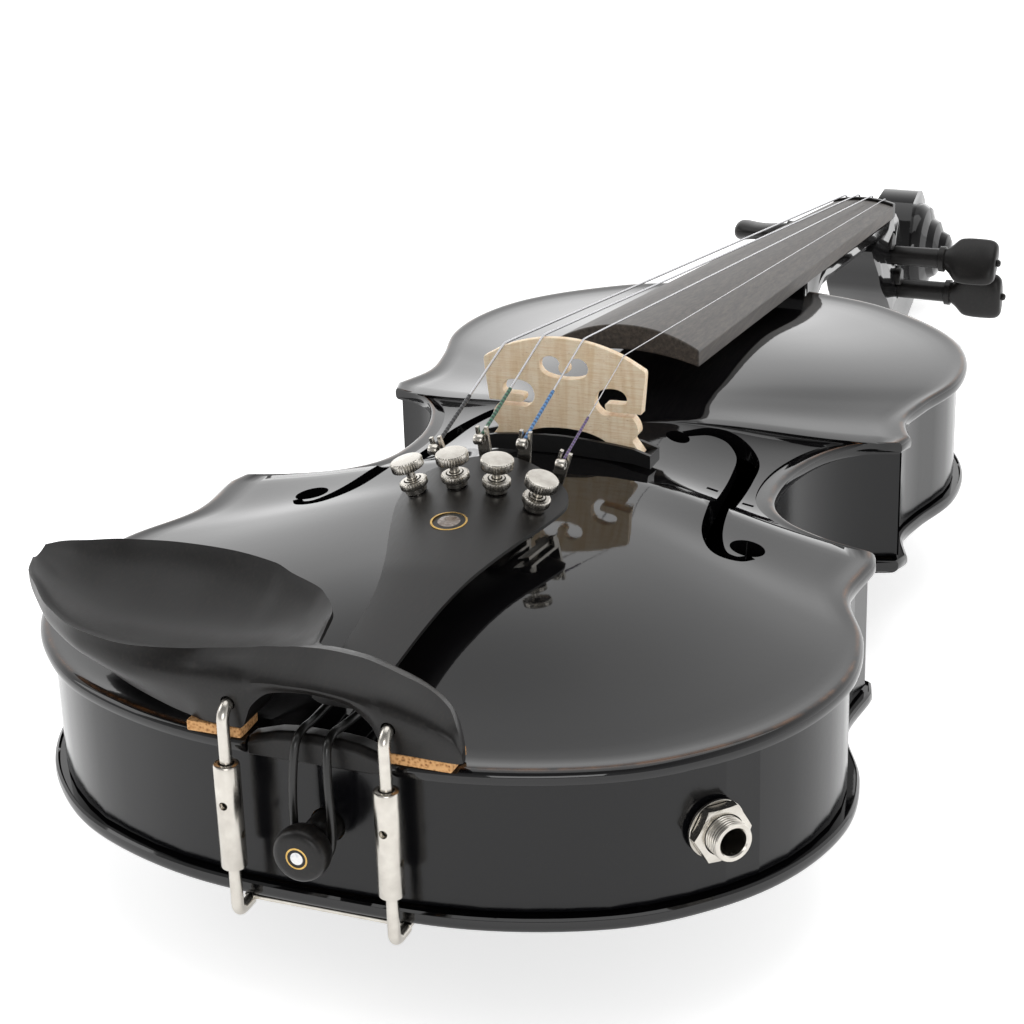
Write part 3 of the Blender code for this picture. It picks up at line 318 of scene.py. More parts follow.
def wound(name, shade_and_highlight, spacing_mm, depth_mm, **shader_values):
    """A thread or ribbon wound round a cord that runs along Y. Its colour has painted shade in the grooves
    between turns and a painted highlight on their crowns.
    """
    material, tree, shader = new_material(name, **shader_values)
    turns = add_node(tree, "TexWave", {"bands_direction": "Y", "wave_profile": "SIN"},
                     Vector=stretched(tree, 1.0, 1.0, 1.0), Scale=0.314 / spacing_mm, Distortion=0.6,
                     Detail=2.0)
    # The first colour is painted shade in the grooves and the second is a painted highlight on the crowns.
    # Both follow the bump's waves.
    tree.links.new(add_node(tree, "ValToRGB", {"stops": [(0.15, shade_and_highlight[0]), (0.7, shade_and_highlight[1])]},
                            Fac=turns.outputs["Fac"]).outputs["Color"],
                   shader.inputs["Base Color"])
    bump = add_node(tree, "Bump", Height=turns.outputs["Fac"], Distance=depth_mm * MM)
    tree.links.new(bump.outputs["Normal"], shader.inputs["Normal"])
    return material


# Each pair below gives the painted groove shade and then the painted crown highlight.
steel = wound("wound_steel", ("#8f8f92", "#c9c9cc"), 0.45, 0.03, Metallic=1.0, Roughness=0.24)
SILKS = {
    "g": wound("black_silk", ("#08080a", "#1c1c20"), 1.3, 0.09, Roughness=0.55, Sheen_Weight=0.3),
    "d": wound("green_silk", ("#0a2f22", "#24684a"), 1.3, 0.09, Roughness=0.5, Sheen_Weight=0.3),
    "a": wound("blue_silk", ("#153f6e", "#3f7fb8"), 1.3, 0.09, Roughness=0.5, Sheen_Weight=0.3),
    "e": wound("purple_silk", ("#241233", "#57357a"), 1.1, 0.06, Roughness=0.5, Sheen_Weight=0.3),
}
plastic, tree, shader = new_material("moulded_black_plastic", Roughness=0.36)
texture = add_node(tree, "TexNoise", Vector=stretched(tree, 0.4, 0.4, 0.4), Scale=1.0,
                   Detail=3.0).outputs["Fac"]
tree.links.new(add_node(tree, "ValToRGB", {"stops": [(0.3, "#0b0b0c"), (0.7, "#151516")]},
                        Fac=texture).outputs["Color"], shader.inputs["Base Color"])
bump = add_node(tree, "Bump", Height=texture, Distance=0.015 * MM)
tree.links.new(bump.outputs["Normal"], shader.inputs["Normal"])
gut, tree, shader = new_material("nylon_tail_gut", Roughness=0.28)
texture = add_node(tree, "TexNoise", Vector=stretched(tree, 0.6, 2.0, 0.6), Scale=1.0,
                   Detail=3.0).outputs["Fac"]
tree.links.new(add_node(tree, "ValToRGB", {"stops": [(0.3, "#0a0a0a"), (0.7, "#171614")]},
                        Fac=texture).outputs["Color"], shader.inputs["Base Color"])
sleeve, tree, shader = new_material("rubber_cable_sleeve", Roughness=0.55)
texture = add_node(tree, "TexNoise", Vector=stretched(tree, 0.5, 0.5, 0.5), Scale=1.0,
                   Detail=3.0).outputs["Fac"]
tree.links.new(add_node(tree, "ValToRGB", {"stops": [(0.3, "#101010"), (0.7, "#1c1c1c")]},
                        Fac=texture).outputs["Color"], shader.inputs["Base Color"])
FINISH_OF = {"black_lacquer": lacquer, "ebony": ebony, "board_ebony": board_wood, "black_plastic": plastic,
             "maple": maple, "spruce": spruce, "nickel": nickel, "cork": cork, "string_metal": steel,
             "cable": sleeve}
for node, item in NODES.items():
    item.data.materials.clear()
    item.data.materials.append(FINISH_OF[SLOT_OF[node]])
print("materials", len(bpy.data.materials))

# %% [markdown]
# ## Tools of the bench
# Every piece is drawn in millimetres with bmesh, then brought into the frame. Bridging closed sections
# one after another makes the carved shapes, a full spin makes the turned ones, and Booleans with the
# exact solver cut openings.

# %% Bench helpers


def loft(sections, capped=True):
    """Bridges closed sections of equally many points and fills the ends."""
    shape = bmesh.new()
    loops = []
    for section in sections:
        row = [shape.verts.new(Vector(point)) for point in section]
        loops.append([shape.edges.new(pair) for pair in zip(row, row[1:] + row[:1])])
    for near, far in zip(loops, loops[1:]):
        bmesh.ops.bridge_loops(shape, edges=near + far)
    if capped:
        for loop in (loops[0], loops[-1]):
            bmesh.ops.edgeloop_fill(shape, edges=loop)
    return shape


def turned(profile, steps=48, closed=False):
    """Spins a (radius, height) profile about Z. A closed profile makes a ring with a hole."""
    shape = bmesh.new()
    row = [shape.verts.new((radius, 0, height)) for radius, height in profile]
    pairs = list(zip(row, row[1:])) + ([(row[-1], row[0])] if closed else [])
    edges = [shape.edges.new(pair) for pair in pairs]
    bmesh.ops.spin(shape, geom=row + edges, axis=(0, 0, 1), cent=(0, 0, 0), steps=steps, angle=2 * math.pi,
                   use_merge=True, use_duplicate=False)
    return shape


def prism(outline, low, high, axis="z"):
    """Extrudes a flat outline between two heights along an axis."""
    def corner(a, b, height):
        return {"z": (a, b, height), "x": (height, a, b), "y": (a, height, b)}[axis]
    shape = bmesh.new()
    face = shape.faces.new([shape.verts.new(corner(a, b, low)) for a, b in outline])
    made = bmesh.ops.extrude_face_region(shape, geom=[face])["geom"]
    moved = [item for item in made if isinstance(item, bmesh.types.BMVert)]
    bmesh.ops.translate(shape, vec=Vector(corner(0, 0, high)) - Vector(corner(0, 0, low)), verts=moved)
    return shape


def pin(start, end, radius, steps=32):
    """A round pin between two points."""
    start, end = Vector(start), Vector(end)
    shape = turned([(0, 0), (radius, 0), (radius, (end - start).length), (0, (end - start).length)], steps)
    lean = (end - start).to_track_quat("Z", "Y").to_matrix().to_4x4()
    bmesh.ops.transform(shape, matrix=Matrix.Translation(start) @ lean, verts=shape.verts)
    return shape


def into_frame(name, shape, place=None):
    """Cleans a bench shape and makes it an object whose place is in its mesh."""
    bmesh.ops.remove_doubles(shape, verts=shape.verts, dist=0.002)
    bmesh.ops.dissolve_degenerate(shape, edges=shape.edges, dist=0.002)
    bmesh.ops.recalc_face_normals(shape, faces=shape.faces)
    if place is not None:
        bmesh.ops.transform(shape, matrix=place, verts=shape.verts)
    bmesh.ops.translate(shape, vec=-BOX_MIDDLE, verts=shape.verts)
    bmesh.ops.scale(shape, vec=(MM, MM, MM), verts=shape.verts)
    mesh = bpy.data.meshes.new(name)
    shape.to_mesh(mesh)
    shape.free()
    item = bpy.data.objects.new(name, mesh)
    bpy.context.scene.collection.objects.link(item)
    return item


def shade(item, angle):
    item.data.shade_smooth()
    item.data.set_sharp_from_angle(angle=math.radians(angle))


def carve(item, cutters, place=None, operation="DIFFERENCE", angle=35.0):
    """Cuts bench shapes out of an object, or joins them, and keeps the result as its mesh."""
    helpers = [into_frame(f"{item.name}_cutter_{i}", shape, place) for i, shape in enumerate(cutters)]
    for helper in helpers:
        modifier = item.modifiers.new(helper.name, "BOOLEAN")
        modifier.object = helper
        modifier.operation = operation
        modifier.solver = "EXACT"
    graph = bpy.context.evaluated_depsgraph_get()
    mesh = bpy.data.meshes.new_from_object(item.evaluated_get(graph), depsgraph=graph)
    item.modifiers.clear()
    item.data = mesh
    for helper in helpers:
        bpy.data.objects.remove(helper, do_unlink=True)
    shade(item, angle)
    return item


def soften(item, width_mm, segments=2, angle=35.0):
    """Rounds the sharp edges with a Bevel modifier."""
    modifier = item.modifiers.new("soft_edges", "BEVEL")
    modifier.width = width_mm * MM
    modifier.segments = segments
    modifier.limit_method = "ANGLE"
    modifier.angle_limit = math.radians(angle)
    modifier.harden_normals = True
    return item


def hang(item, body, material, replaces=()):
    """Gives a piece its finish and body, and hides the CAD nodes that it stands for."""
    item.data.materials.clear()
    item.data.materials.append(material)
    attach(item, body)
    if replaces:
        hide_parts(*replaces)
    return item


def piece(name, shape, body, material, replaces=(), place=None, angle=35.0):
    item = into_frame(name, shape, place)
    shade(item, angle)
    return hang(item, body, material, replaces)


def refined(node, bevel_mm=0.15, angle=35.0, segments=2, flat_angle=0.6):
    """A CAD node's shape, with its triangles merged to clean faces and its edges softened."""
    shape = bmesh.new()
    shape.from_mesh(NODES[node].data)
    bmesh.ops.remove_doubles(shape, verts=shape.verts, dist=0.00001)
    bmesh.ops.dissolve_limit(shape, angle_limit=math.radians(flat_angle), verts=shape.verts,
                             edges=shape.edges)
    mesh = bpy.data.meshes.new(node + "_finished")
    shape.to_mesh(mesh)
    shape.free()
    item = bpy.data.objects.new(node + "_finished", mesh)
    bpy.context.scene.collection.objects.link(item)
    shade(item, angle)
    hang(item, BODY_OF[node], FINISH_OF[SLOT_OF[node]], [node])
    if bevel_mm:
        soften(item, bevel_mm, segments, angle)
    return item


def smooth_path(points, per_span, closed=False, mirror_start=False, mirror_end=False):
    """A Catmull-Rom curve through a list of points, or through a list of whole sections."""
    path = [np.array(point, float) for point in points]
    flip = np.ones(path[0].shape)
    if path[0].ndim == 1:
        flip[0] = -1
    if closed:
        first, last = path[-1], path[0]
        path = [first] + path + [last, path[1]]
    else:
        first = path[1] * flip if mirror_start else 2 * path[0] - path[1]
        last = path[-2] * flip if mirror_end else 2 * path[-1] - path[-2]
        path = [first] + path + [last]
    result = []
    for a, b, c, d in zip(path, path[1:], path[2:], path[3:]):
        for k in range(per_span):
            t = k / per_span
            result.append(0.5 * (2 * b + (c - a) * t + (2 * a - 5 * b + 4 * c - d) * t ** 2
                                 + (3 * b - a - 3 * c + d) * t ** 3))
    if not closed:
        result.append(path[-2])
    return np.array(result)


def rounded(points, corners, per_span):
    """A closed outline that is smooth between its corners; corners are indices into the points."""
    points = [np.array(point, float) for point in points]
    corners = sorted(corners)
    result = []
    for start, end in zip(corners, corners[1:] + [corners[0] + len(points)]):
        stretch = [points[i % len(points)] for i in range(start, end + 1)]
        result.extend(smooth_path(stretch, per_span)[:-1])
    return np.array(result)


def cord(name, points, radius, body, material, replaces=(), resolution=4):
    """A round cord along drawing points, made a mesh."""
    curve = bpy.data.curves.new(name + "_line", "CURVE")
    curve.dimensions = "3D"
    spline = curve.splines.new("POLY")
    spline.points.add(len(points) - 1)
    for point, place in zip(spline.points, points):
        point.co = (*at(*place), 1.0)
    curve.bevel_depth = radius * MM
    curve.bevel_resolution = resolution
    curve.use_fill_caps = True
    line = bpy.data.objects.new(name + "_line", curve)
    bpy.context.scene.collection.objects.link(line)
    graph = bpy.context.evaluated_depsgraph_get()
    item = bpy.data.objects.new(name, bpy.data.meshes.new_from_object(line.evaluated_get(graph),
                                                                      depsgraph=graph))
    bpy.data.objects.remove(line, do_unlink=True)
    bpy.context.scene.collection.objects.link(item)
    clean = bmesh.new()
    clean.from_mesh(item.data)
    bmesh.ops.remove_doubles(clean, verts=clean.verts, dist=0.0000005)
    bmesh.ops.recalc_face_normals(clean, faces=clean.faces)
    clean.to_mesh(item.data)
    clean.free()
    shade(item, 50.0)
    return hang(item, body, material, replaces)


print("bench ready")

# %% [markdown]
# ## The body's outline
# A violin's outline is two bouts and a waist that meet in four pointed corners. Only the treble half is
# drawn, as a few points on smooth curves, and the other half is its mirror image.

# %% Draw the outline
BODY_LENGTH = 352.0
SPINE = (95.0, 235.0)
LOWER_BOUT = [(0, 0), (35, 2.0), (65, 12.5), (84.5, 28.5), (97, 48), (102.6, 71), (99.8, 93), (91, 115),
              (91.8, 137)]
WAIST = [(90.3, 142.5), (78, 147), (66, 154.5), (58.3, 164.5), (55.5, 177), (56.3, 192), (61, 207),
         (68.5, 217),
         (78.5, 221)]
UPPER_BOUT = [(80, 226), (75.6, 240), (77.6, 256), (82.4, 276), (81, 296), (73, 315), (57, 332), (35, 345.5),
              (0, 352)]
PER_SPAN = 8


def mirrored(points):
    return points[::-1] * np.array([-1.0, 1.0])


lower = smooth_path(LOWER_BOUT, PER_SPAN, mirror_start=True)
waist = smooth_path(WAIST, PER_SPAN)
upper = smooth_path(UPPER_BOUT, PER_SPAN, mirror_end=True)
OUTLINE = np.concatenate([mirrored(lower)[:-1], lower, waist, upper, mirrored(upper)[1:], mirrored(waist)])
keep = np.linalg.norm(OUTLINE - np.roll(OUTLINE, 1, axis=0), axis=1) > 0.05
OUTLINE = OUTLINE[keep]
print("outline points", len(OUTLINE))

# %% [markdown]
# ## The two plates
# Each plate is carved to an arch that dips to a shallow channel just inside a raised bead, and the bead is
# rounded over. Rings of the outline, moved in step by step towards the spine line, give that section all
# the way round. The f-holes go right through the top, and so do the notches for neck and saddle.

# %% Carve the plates
TOP_EDGE, TOP_UNDER, TOP_ARCH = 38.0, 34.3, 10.5
BACK_LOW, BACK_EDGE, BACK_ARCH = -2.2, 1.5, 11.0
BEAD = [(0.9, -3.6), (0.25, -3.2), (0.0, -2.4), (0.0, -1.4), (0.3, -0.65), (0.9, -0.15), (1.7, 0.08),
        (2.7, 0.06),
        (3.9, -0.06), (5.3, -0.12), (7.0, -0.1)]
CREST = 6
SMOOTHINGS = 40


def arch(t):
    return (1 - math.cos(math.pi * min(1.0, 1.2 * t))) / 2


def ring(inward_mm=None, t=None):
    """The outline moved towards the spine line by a distance, or by a share of the way."""
    spine_y = SPINE[0] + OUTLINE[:, 1] / BODY_LENGTH * (SPINE[1] - SPINE[0])
    spine = np.stack([np.zeros(len(OUTLINE)), spine_y], axis=1)
    reach = np.linalg.norm(spine - OUTLINE, axis=1)[:, None]
    share = inward_mm / reach if t is None else np.full_like(reach, t)
    return OUTLINE * (1 - share) + spine * share


def plate_shape(edge, rise, flip, under):
    """The closed shell of a plate. flip is 1 for the top and -1 for the back."""
    sections = []
    for inward, height in BEAD:
        sections.append([(x, y, edge + flip * height) for x, y in ring(inward_mm=inward)])
    for t in np.linspace(0.1, 1.0, 26):
        shift = -0.1 * max(0.0, 1 - (t - 0.1) / 0.25)
        sections.append([(x, y, edge + flip * (shift + rise * arch(t))) for x, y in ring(t=t)])
    inner = []
    for t in (0.012, 0.2, 0.45, 1.0):
        inner.append([(x, y, max(edge - 3.0 + rise * arch(t), under) if flip > 0
                       else min(edge + 3.0 - rise * arch(t), under)) for x, y in ring(t=t)])
    shape = loft(sections[::-1] + inner, capped=False)
    bmesh.ops.remove_doubles(shape, verts=shape.verts, dist=0.002)
    arched = [v for v in shape.verts if flip * (v.co.z - edge) > 0.35 and v.is_manifold]
    for _ in range(SMOOTHINGS):
        bmesh.ops.smooth_vert(shape, verts=arched, factor=0.5, use_axis_x=False, use_axis_y=False,
                              use_axis_z=True)
    return shape


def f_hole(side):
    """The f-shaped opening: an S-shaped band between two round eyes."""
    centre = smooth_path([(24.5, 188.5, 1.3), (30, 194.5, 1.8), (37, 195.5, 2.9), (42.7, 189, 3.2),
                          (44.6, 177, 3.0),
                          (46, 161, 2.8), (48, 144, 2.7), (50.8, 130, 2.7), (55.5, 120.5, 2.2),
                          (60.5, 119.5, 1.5),
                          (63.5, 123.2, 1.2)], 6)
    tangent = np.gradient(centre[:, :2], axis=0)
    tangent /= np.linalg.norm(tangent, axis=1)[:, None]
    normal = np.stack([-tangent[:, 1], tangent[:, 0]], axis=1)
    left = centre[:, :2] + normal * centre[:, 2:]
    right = centre[:, :2] - normal * centre[:, 2:]
    band = np.concatenate([left, right[::-1]]) * np.array([side, 1])
    cutters = [prism(band, 30, 60)]
    for x, y, radius in ((23.5, 185.6, 3.3), (61.0, 127.2, 4.5)):
        cutters.append(pin((side * x, y, 29), (side * x, y, 61), radius, 40))
    for x, y, lean in ((40.5, 163.5, 0.4), (51.0, 161.5, 0.4)):
        nick = [(x - 1.5, y - 1.3), (x + 1.5, y + lean - 1.3), (x + 1.5, y + lean + 0.3), (x - 1.5, y + 0.3)]
        cutters.append(prism([(side * a, b) for a, b in nick], 30, 60))
    return cutters


HEEL_HALF, HEEL_FACE, GAP = 16.0, 343.5, 0.3
top = into_frame("top_plate_carved", plate_shape(TOP_EDGE, TOP_ARCH, 1, TOP_UNDER))
notches = [prism([(-16.2, -5), (18.6, -5), (18.6, 6.4), (-16.2, 6.4)], 30, 60),
           prism([(-HEEL_HALF - GAP, HEEL_FACE - GAP), (HEEL_HALF + GAP, HEEL_FACE - GAP),
                  (HEEL_HALF + GAP, 364),
                  (-HEEL_HALF - GAP, 364)], 30, 60),
           pin((6, 160, 40), (6, 160, 60), 1.6)]
carve(top, f_hole(1) + f_hole(-1) + notches, angle=40.0)
crest = KDTree(len(OUTLINE))
for i, (x, y) in enumerate(ring(inward_mm=BEAD[CREST][0])):
    crest.insert(at(x, y, TOP_EDGE + BEAD[CREST][1]), i)
crest.balance()
wear = top.data.attributes.new("wear", "FLOAT", "POINT")
wear.data.foreach_set("value", [1.0 if crest.find(v.co)[2] < 0.0004 else 0.0 for v in top.data.vertices])
hang(top, BODY_OF["top_plate"], lacquer, ["top_plate"])

back = into_frame("back_plate_carved", plate_shape(BACK_LOW, -BACK_ARCH, -1, BACK_EDGE))
carve(back, [pin((0, 351.5, BACK_LOW + 0.05), (0, 351.5, BACK_EDGE - 0.05), 11.0, 64)], operation="UNION",
      angle=40.0)
hang(back, BODY_OF["back_plate"], lacquer, ["back_plate"])
print("top and back faces", len(top.data.polygons), len(back.data.polygons))

# %% [markdown]
# ## Ribs and neck
# The ribs are thin bent strips, and the neck with its heel and pegbox is one carved piece. The packed
# shapes are right, so copies of them are merged, the neck's edges are softened, and they get the lacquer.

# %% Refine the ribs and neck
for node in ("rib_lower", "rib_waist_treble", "rib_waist_bass", "rib_upper_treble", "rib_upper_bass"):
    rib = refined(node, bevel_mm=0, angle=30.0)
    rib.data.materials[0] = rib_lacquer
refined("neck_scroll", bevel_mm=0.5, angle=34.0, segments=3)
print("ribs and neck refined")

# %% [markdown]
# ## Fingerboard and nut
# The board is a wedge with a rounded playing face, a hollow underside beyond the neck, and an arched end.

# %% Shape the board
NUT_Y, BOARD_END = 486.5, 212.0
BOARD_AT_NUT, BOARD_SLOPE, BOARD_RADIUS, BOARD_EDGE = 31.6, 0.1335, 42.0, 5.0


def board_half(y):
    return float(np.interp(y, (BOARD_END, NUT_Y), (21.2, 12.0)))


def board_top(x, y):
    return BOARD_AT_NUT + BOARD_SLOPE * (NUT_Y - y) - BOARD_RADIUS + math.sqrt(BOARD_RADIUS ** 2 - x ** 2)


sections = []
for y in (BOARD_END, 230, 250, 270, 290, 318, 338, 341, 344, 370, 400, 430, 460, NUT_Y - 0.1):
    half = board_half(y)
    floor = board_top(half, y) - BOARD_EDGE
    hollow = float(np.interp(y, (338, 344), (3.2, 0.0)))
    across = np.linspace(-half, half, 33)
    over = [(x, y, board_top(x, y)) for x in across]
    under = [(x, y, floor + hollow * (1 - (x / half) ** 2)) for x in across[::-1]]
    sections.append(over + under)
board = piece("fingerboard_shaped", loft(sections), BODY_OF["fingerboard"], board_wood,
              ["fingerboard"])
soften(board, 0.5, 3)
refined("nut", 0.4, 30.0, 3)
print("board", [round(v * 1000, 1) for v in board.dimensions])

# %% [markdown]
# ## Tailpiece
# The tailpiece is a convex leaf of satin ebony. It is narrow where the gut holds it, widens towards the
# tuners and ends in an arc, with an inlaid eye of pearl in a brass ring.

# %% Carve the tailpiece
TAIL_RADIUS = 55.0
TAIL_STATIONS = [(9.5, 2.9, 6.6), (12, 3.1, 7.2), (18, 3.2, 7.3), (26, 3.3, 7.4), (38, 3.2, 8.0),
                 (50, 3.0, 9.2),
                 (63, 2.2, 11.9), (79, 0.6, 16.2), (92, -0.2, 19.8), (100, -0.4, 21.3), (105, -0.5, 21.6),
                 (110, -0.5, 19.6), (113.5, -0.5, 14.6), (116.2, -0.5, 8.0), (117.4, -0.5, 3.2)]
TUNER_AT = {"g": (-16.6, 98.4), "d": (-6.4, 100.2), "a": (4.4, 99.6), "e": (15.2, 97.2)}
TUNER_ROLL = {"g": -15.0, "d": -5.0, "a": 6.0, "e": 19.0}
TUNER_PITCH = 6.6


def tail_top(x, y):
    centre = float(np.interp(y, (0, 20, 60, 118), (45.0, 49.6, 56.8, 63.3)))
    middle = float(np.interp(y, [s[0] for s in TAIL_STATIONS], [s[1] for s in TAIL_STATIONS]))
    return centre - TAIL_RADIUS + math.sqrt(TAIL_RADIUS ** 2 - (x - middle) ** 2)


def tuner_frame(name):
    """The origin is on the tailpiece's face at a tuner's hole, with Z along the screw."""
    x, y = TUNER_AT[name]
    lean = Matrix.Rotation(math.radians(TUNER_PITCH), 4, "X") @ Matrix.Rotation(
        math.radians(TUNER_ROLL[name]), 4, "Y")
    return Matrix.Translation((x, y, tail_top(x, y))) @ lean


sections = []
for y, middle, half in smooth_path(TAIL_STATIONS, 4):
    belly = float(np.interp(y, (9, 25), (1.6, 3.7)))
    across = [middle + half * math.sin(a) for a in np.linspace(-math.pi / 2, math.pi / 2, 29)]
    over = [(x, y, tail_top(x, y)) for x in across]
    under = [(x, y, z - 0.9 - belly * (1 - ((x - middle) / half) ** 4)) for x, _, z in over[::-1]]
    sections.append(over + under)
tail = into_frame("tailpiece_carved", loft(sections))
for name in "gdae":
    carve(tail, [turned([(0, -9), (2.5, -9), (2.5, 9), (0, 9)], 40)], tuner_frame(name), angle=40.0)
hang(tail, BODY_OF["tailpiece"], ebony, ["tailpiece"])
soften(tail, 0.35, 3, 40.0)
EYE = (-1.1, 82.2)
eye_place = Matrix.Translation((*EYE, tail_top(*EYE))) @ Matrix.Rotation(math.radians(6.4), 4, "X")
piece("tail_eye_pearl", turned([(0, 0.16), (2.2, 0.14), (2.8, 0.02), (2.8, -0.6), (0, -0.6)]), "instrument",
      dark_pearl,
      place=eye_place)
piece("tail_eye_ring", turned([(4.1, 0.1), (4.6, 0.06), (4.6, -0.6), (4.1, -0.6)], closed=True), "instrument",
      brass, place=eye_place)
print("tailpiece faces", len(tail.data.polygons))

# %% [markdown]
# ## Fine tuners
# Each tuner is a screw with a knurled head, a knurled ring nut that clamps it to the tailpiece, a body
# below, and a lever whose fork holds the string. Knurling is made by turning a smooth profile and then
# drawing every second column of its rim inwards.

# %% Turn the tuners


def knurled(profile, steps, rim_radius, depth, closed=False):
    """A turned profile whose outermost points are cut into fine ribs."""
    shape = turned(profile, steps, closed)
    bmesh.ops.remove_doubles(shape, verts=shape.verts, dist=0.002)
    for vert in shape.verts:
        radius = math.hypot(vert.co.x, vert.co.y)
        column = round(math.atan2(vert.co.y, vert.co.x) / (2 * math.pi / steps))
        if radius > rim_radius and column % 2:
            vert.co.x *= 1 - depth / radius
            vert.co.y *= 1 - depth / radius
    return shape


PIVOT_Y = {"g": 13.6, "d": 15.6, "a": 16.2, "e": 14.6}
HEAD = [(0, -6.5), (0.8, -6.5), (1.15, -6.2), (1.15, 6.3), (1.3, 6.6), (3.6, 6.7), (4.15, 6.95), (4.2, 7.1),
        (4.2, 9.0), (4.15, 9.1), (3.75, 9.35), (3.6, 9.38), (0, 9.4)]
HEAD_RIBS, HEAD_RIM, HEAD_DEPTH = 72, 4.0, 0.32
RING_RIBS, RING_RIM, RING_DEPTH = 64, 3.5, 0.28
COLLAR = [(2.8, 0.5), (2.9, 1.6), (3.2, 1.75), (3.55, 1.95), (3.6, 2.05), (3.6, 3.45), (3.55, 3.55),
          (3.1, 3.75),
          (2.3, 3.8), (2.3, 0.5)]
for name in "gdae":
    place = tuner_frame(name)
    piece(f"tuner_screw_{name}_turned", knurled(HEAD, HEAD_RIBS, HEAD_RIM, HEAD_DEPTH),
          f"tuner_screw_{name}", nickel,
          [f"tuner_screw_{name}"], place, 24.0)
    ring_nut = knurled(COLLAR, RING_RIBS, RING_RIM, RING_DEPTH, closed=True)
    piece(f"tuner_nut_{name}_turned", ring_nut, "instrument", nickel, [f"tuner_nut_{name}"], place,
          24.0)
    refined(f"tuner_body_{name}", 0.12, 40.0)
    refined(f"tuner_lever_{name}", 0.25, 30.0, 3)
print("tuners turned")

# %% [markdown]
# ## Bridge and pickup tray
# The bridge is cut from a wedge of maple: its tail side stands upright, and it thins towards the strings.
# Its outline is smooth except at the slots and feet. A heart of two lobes and two kidneys pierce it. Its feet
# stand in a black tray that holds the pickup and follows the arch of the top.

# %% Cut the bridge
BRIDGE_Y = 159.5
BRIDGE_HALF = [(0, 55.5), (6, 55.0), (10.5, 53.6), (12.2, 52.2), (11.4, 50.2), (20.6, 49.4), (21.9, 50.2),
               (20.4, 52.4), (19.4, 54.2), (20.9, 56.2), (20.6, 58.6), (19.4, 60.5), (12.4, 60.7),
               (12.4, 61.7),
               (21.8, 61.7), (23.0, 72.0), (22.9, 74.0)]
HALF_CORNERS = (3, 4, 5, 6, 11, 12, 13, 14, 16)
KIDNEY = [(8.6, 64.4), (9.2, 62.2), (11.0, 60.7), (13.0, 60.7), (13.0, 61.7), (11.8, 62.2), (12.0, 63.9),
          (16.8, 64.2), (17.8, 65.4), (17.0, 67.2), (15.0, 68.1), (12.0, 68.0), (9.6, 66.8)]
HEART = [(0, 71.0), (1.2, 71.6), (1.5, 72.8), (1.1, 74.0), (2.2, 75.3), (4.4, 75.7), (6.4, 74.6),
         (6.9, 72.6), (5.8, 70.8),
         (3.2, 69.9), (0, 69.6)]


def bridge_top(x):
    return 81.1 - 0.013 * x ** 2


crown = [(x, bridge_top(x)) for x in (17, 11.5, 5.8, 0)]
half = BRIDGE_HALF + crown
outline = half + [(-x, z) for x, z in half[-2:0:-1]]
corners = [i for i in HALF_CORNERS] + [len(outline) - i for i in HALF_CORNERS]
outline = rounded(outline, corners, 6)
sections = []
for share in (0.0, 0.5, 1.0):
    sections.append([(x, BRIDGE_Y + share * float(np.interp(z, (50, 82), (4.4, 1.7))), z) for x,
                     z in outline])
bridge = into_frame("bridge_cut", loft(sections))
heart = HEART + [(-x, z) for x, z in HEART[-2:0:-1]]
cutters = [prism([tuple(p) for p in rounded(heart, [0, 3, 10, 17], 6)], BRIDGE_Y - 5, BRIDGE_Y + 9, "y")]
for sign in (-1, 1):
    kidney = [(sign * x, z) for x, z in KIDNEY][::sign]
    square = [i for i, (x, z) in enumerate(kidney) if (abs(x), z) in ((13.0, 60.7), (13.0, 61.7))]
    cutters.append(prism([tuple(p) for p in rounded(kidney, square, 6)], BRIDGE_Y - 5, BRIDGE_Y + 9, "y"))
carve(bridge, cutters)
hang(bridge, BODY_OF["bridge"], maple, ["bridge"])
soften(bridge, 0.22, 2, 40.0)
refined("pickup_tray", 0.35, 30.0, 3)
print("bridge faces", len(bridge.data.polygons))
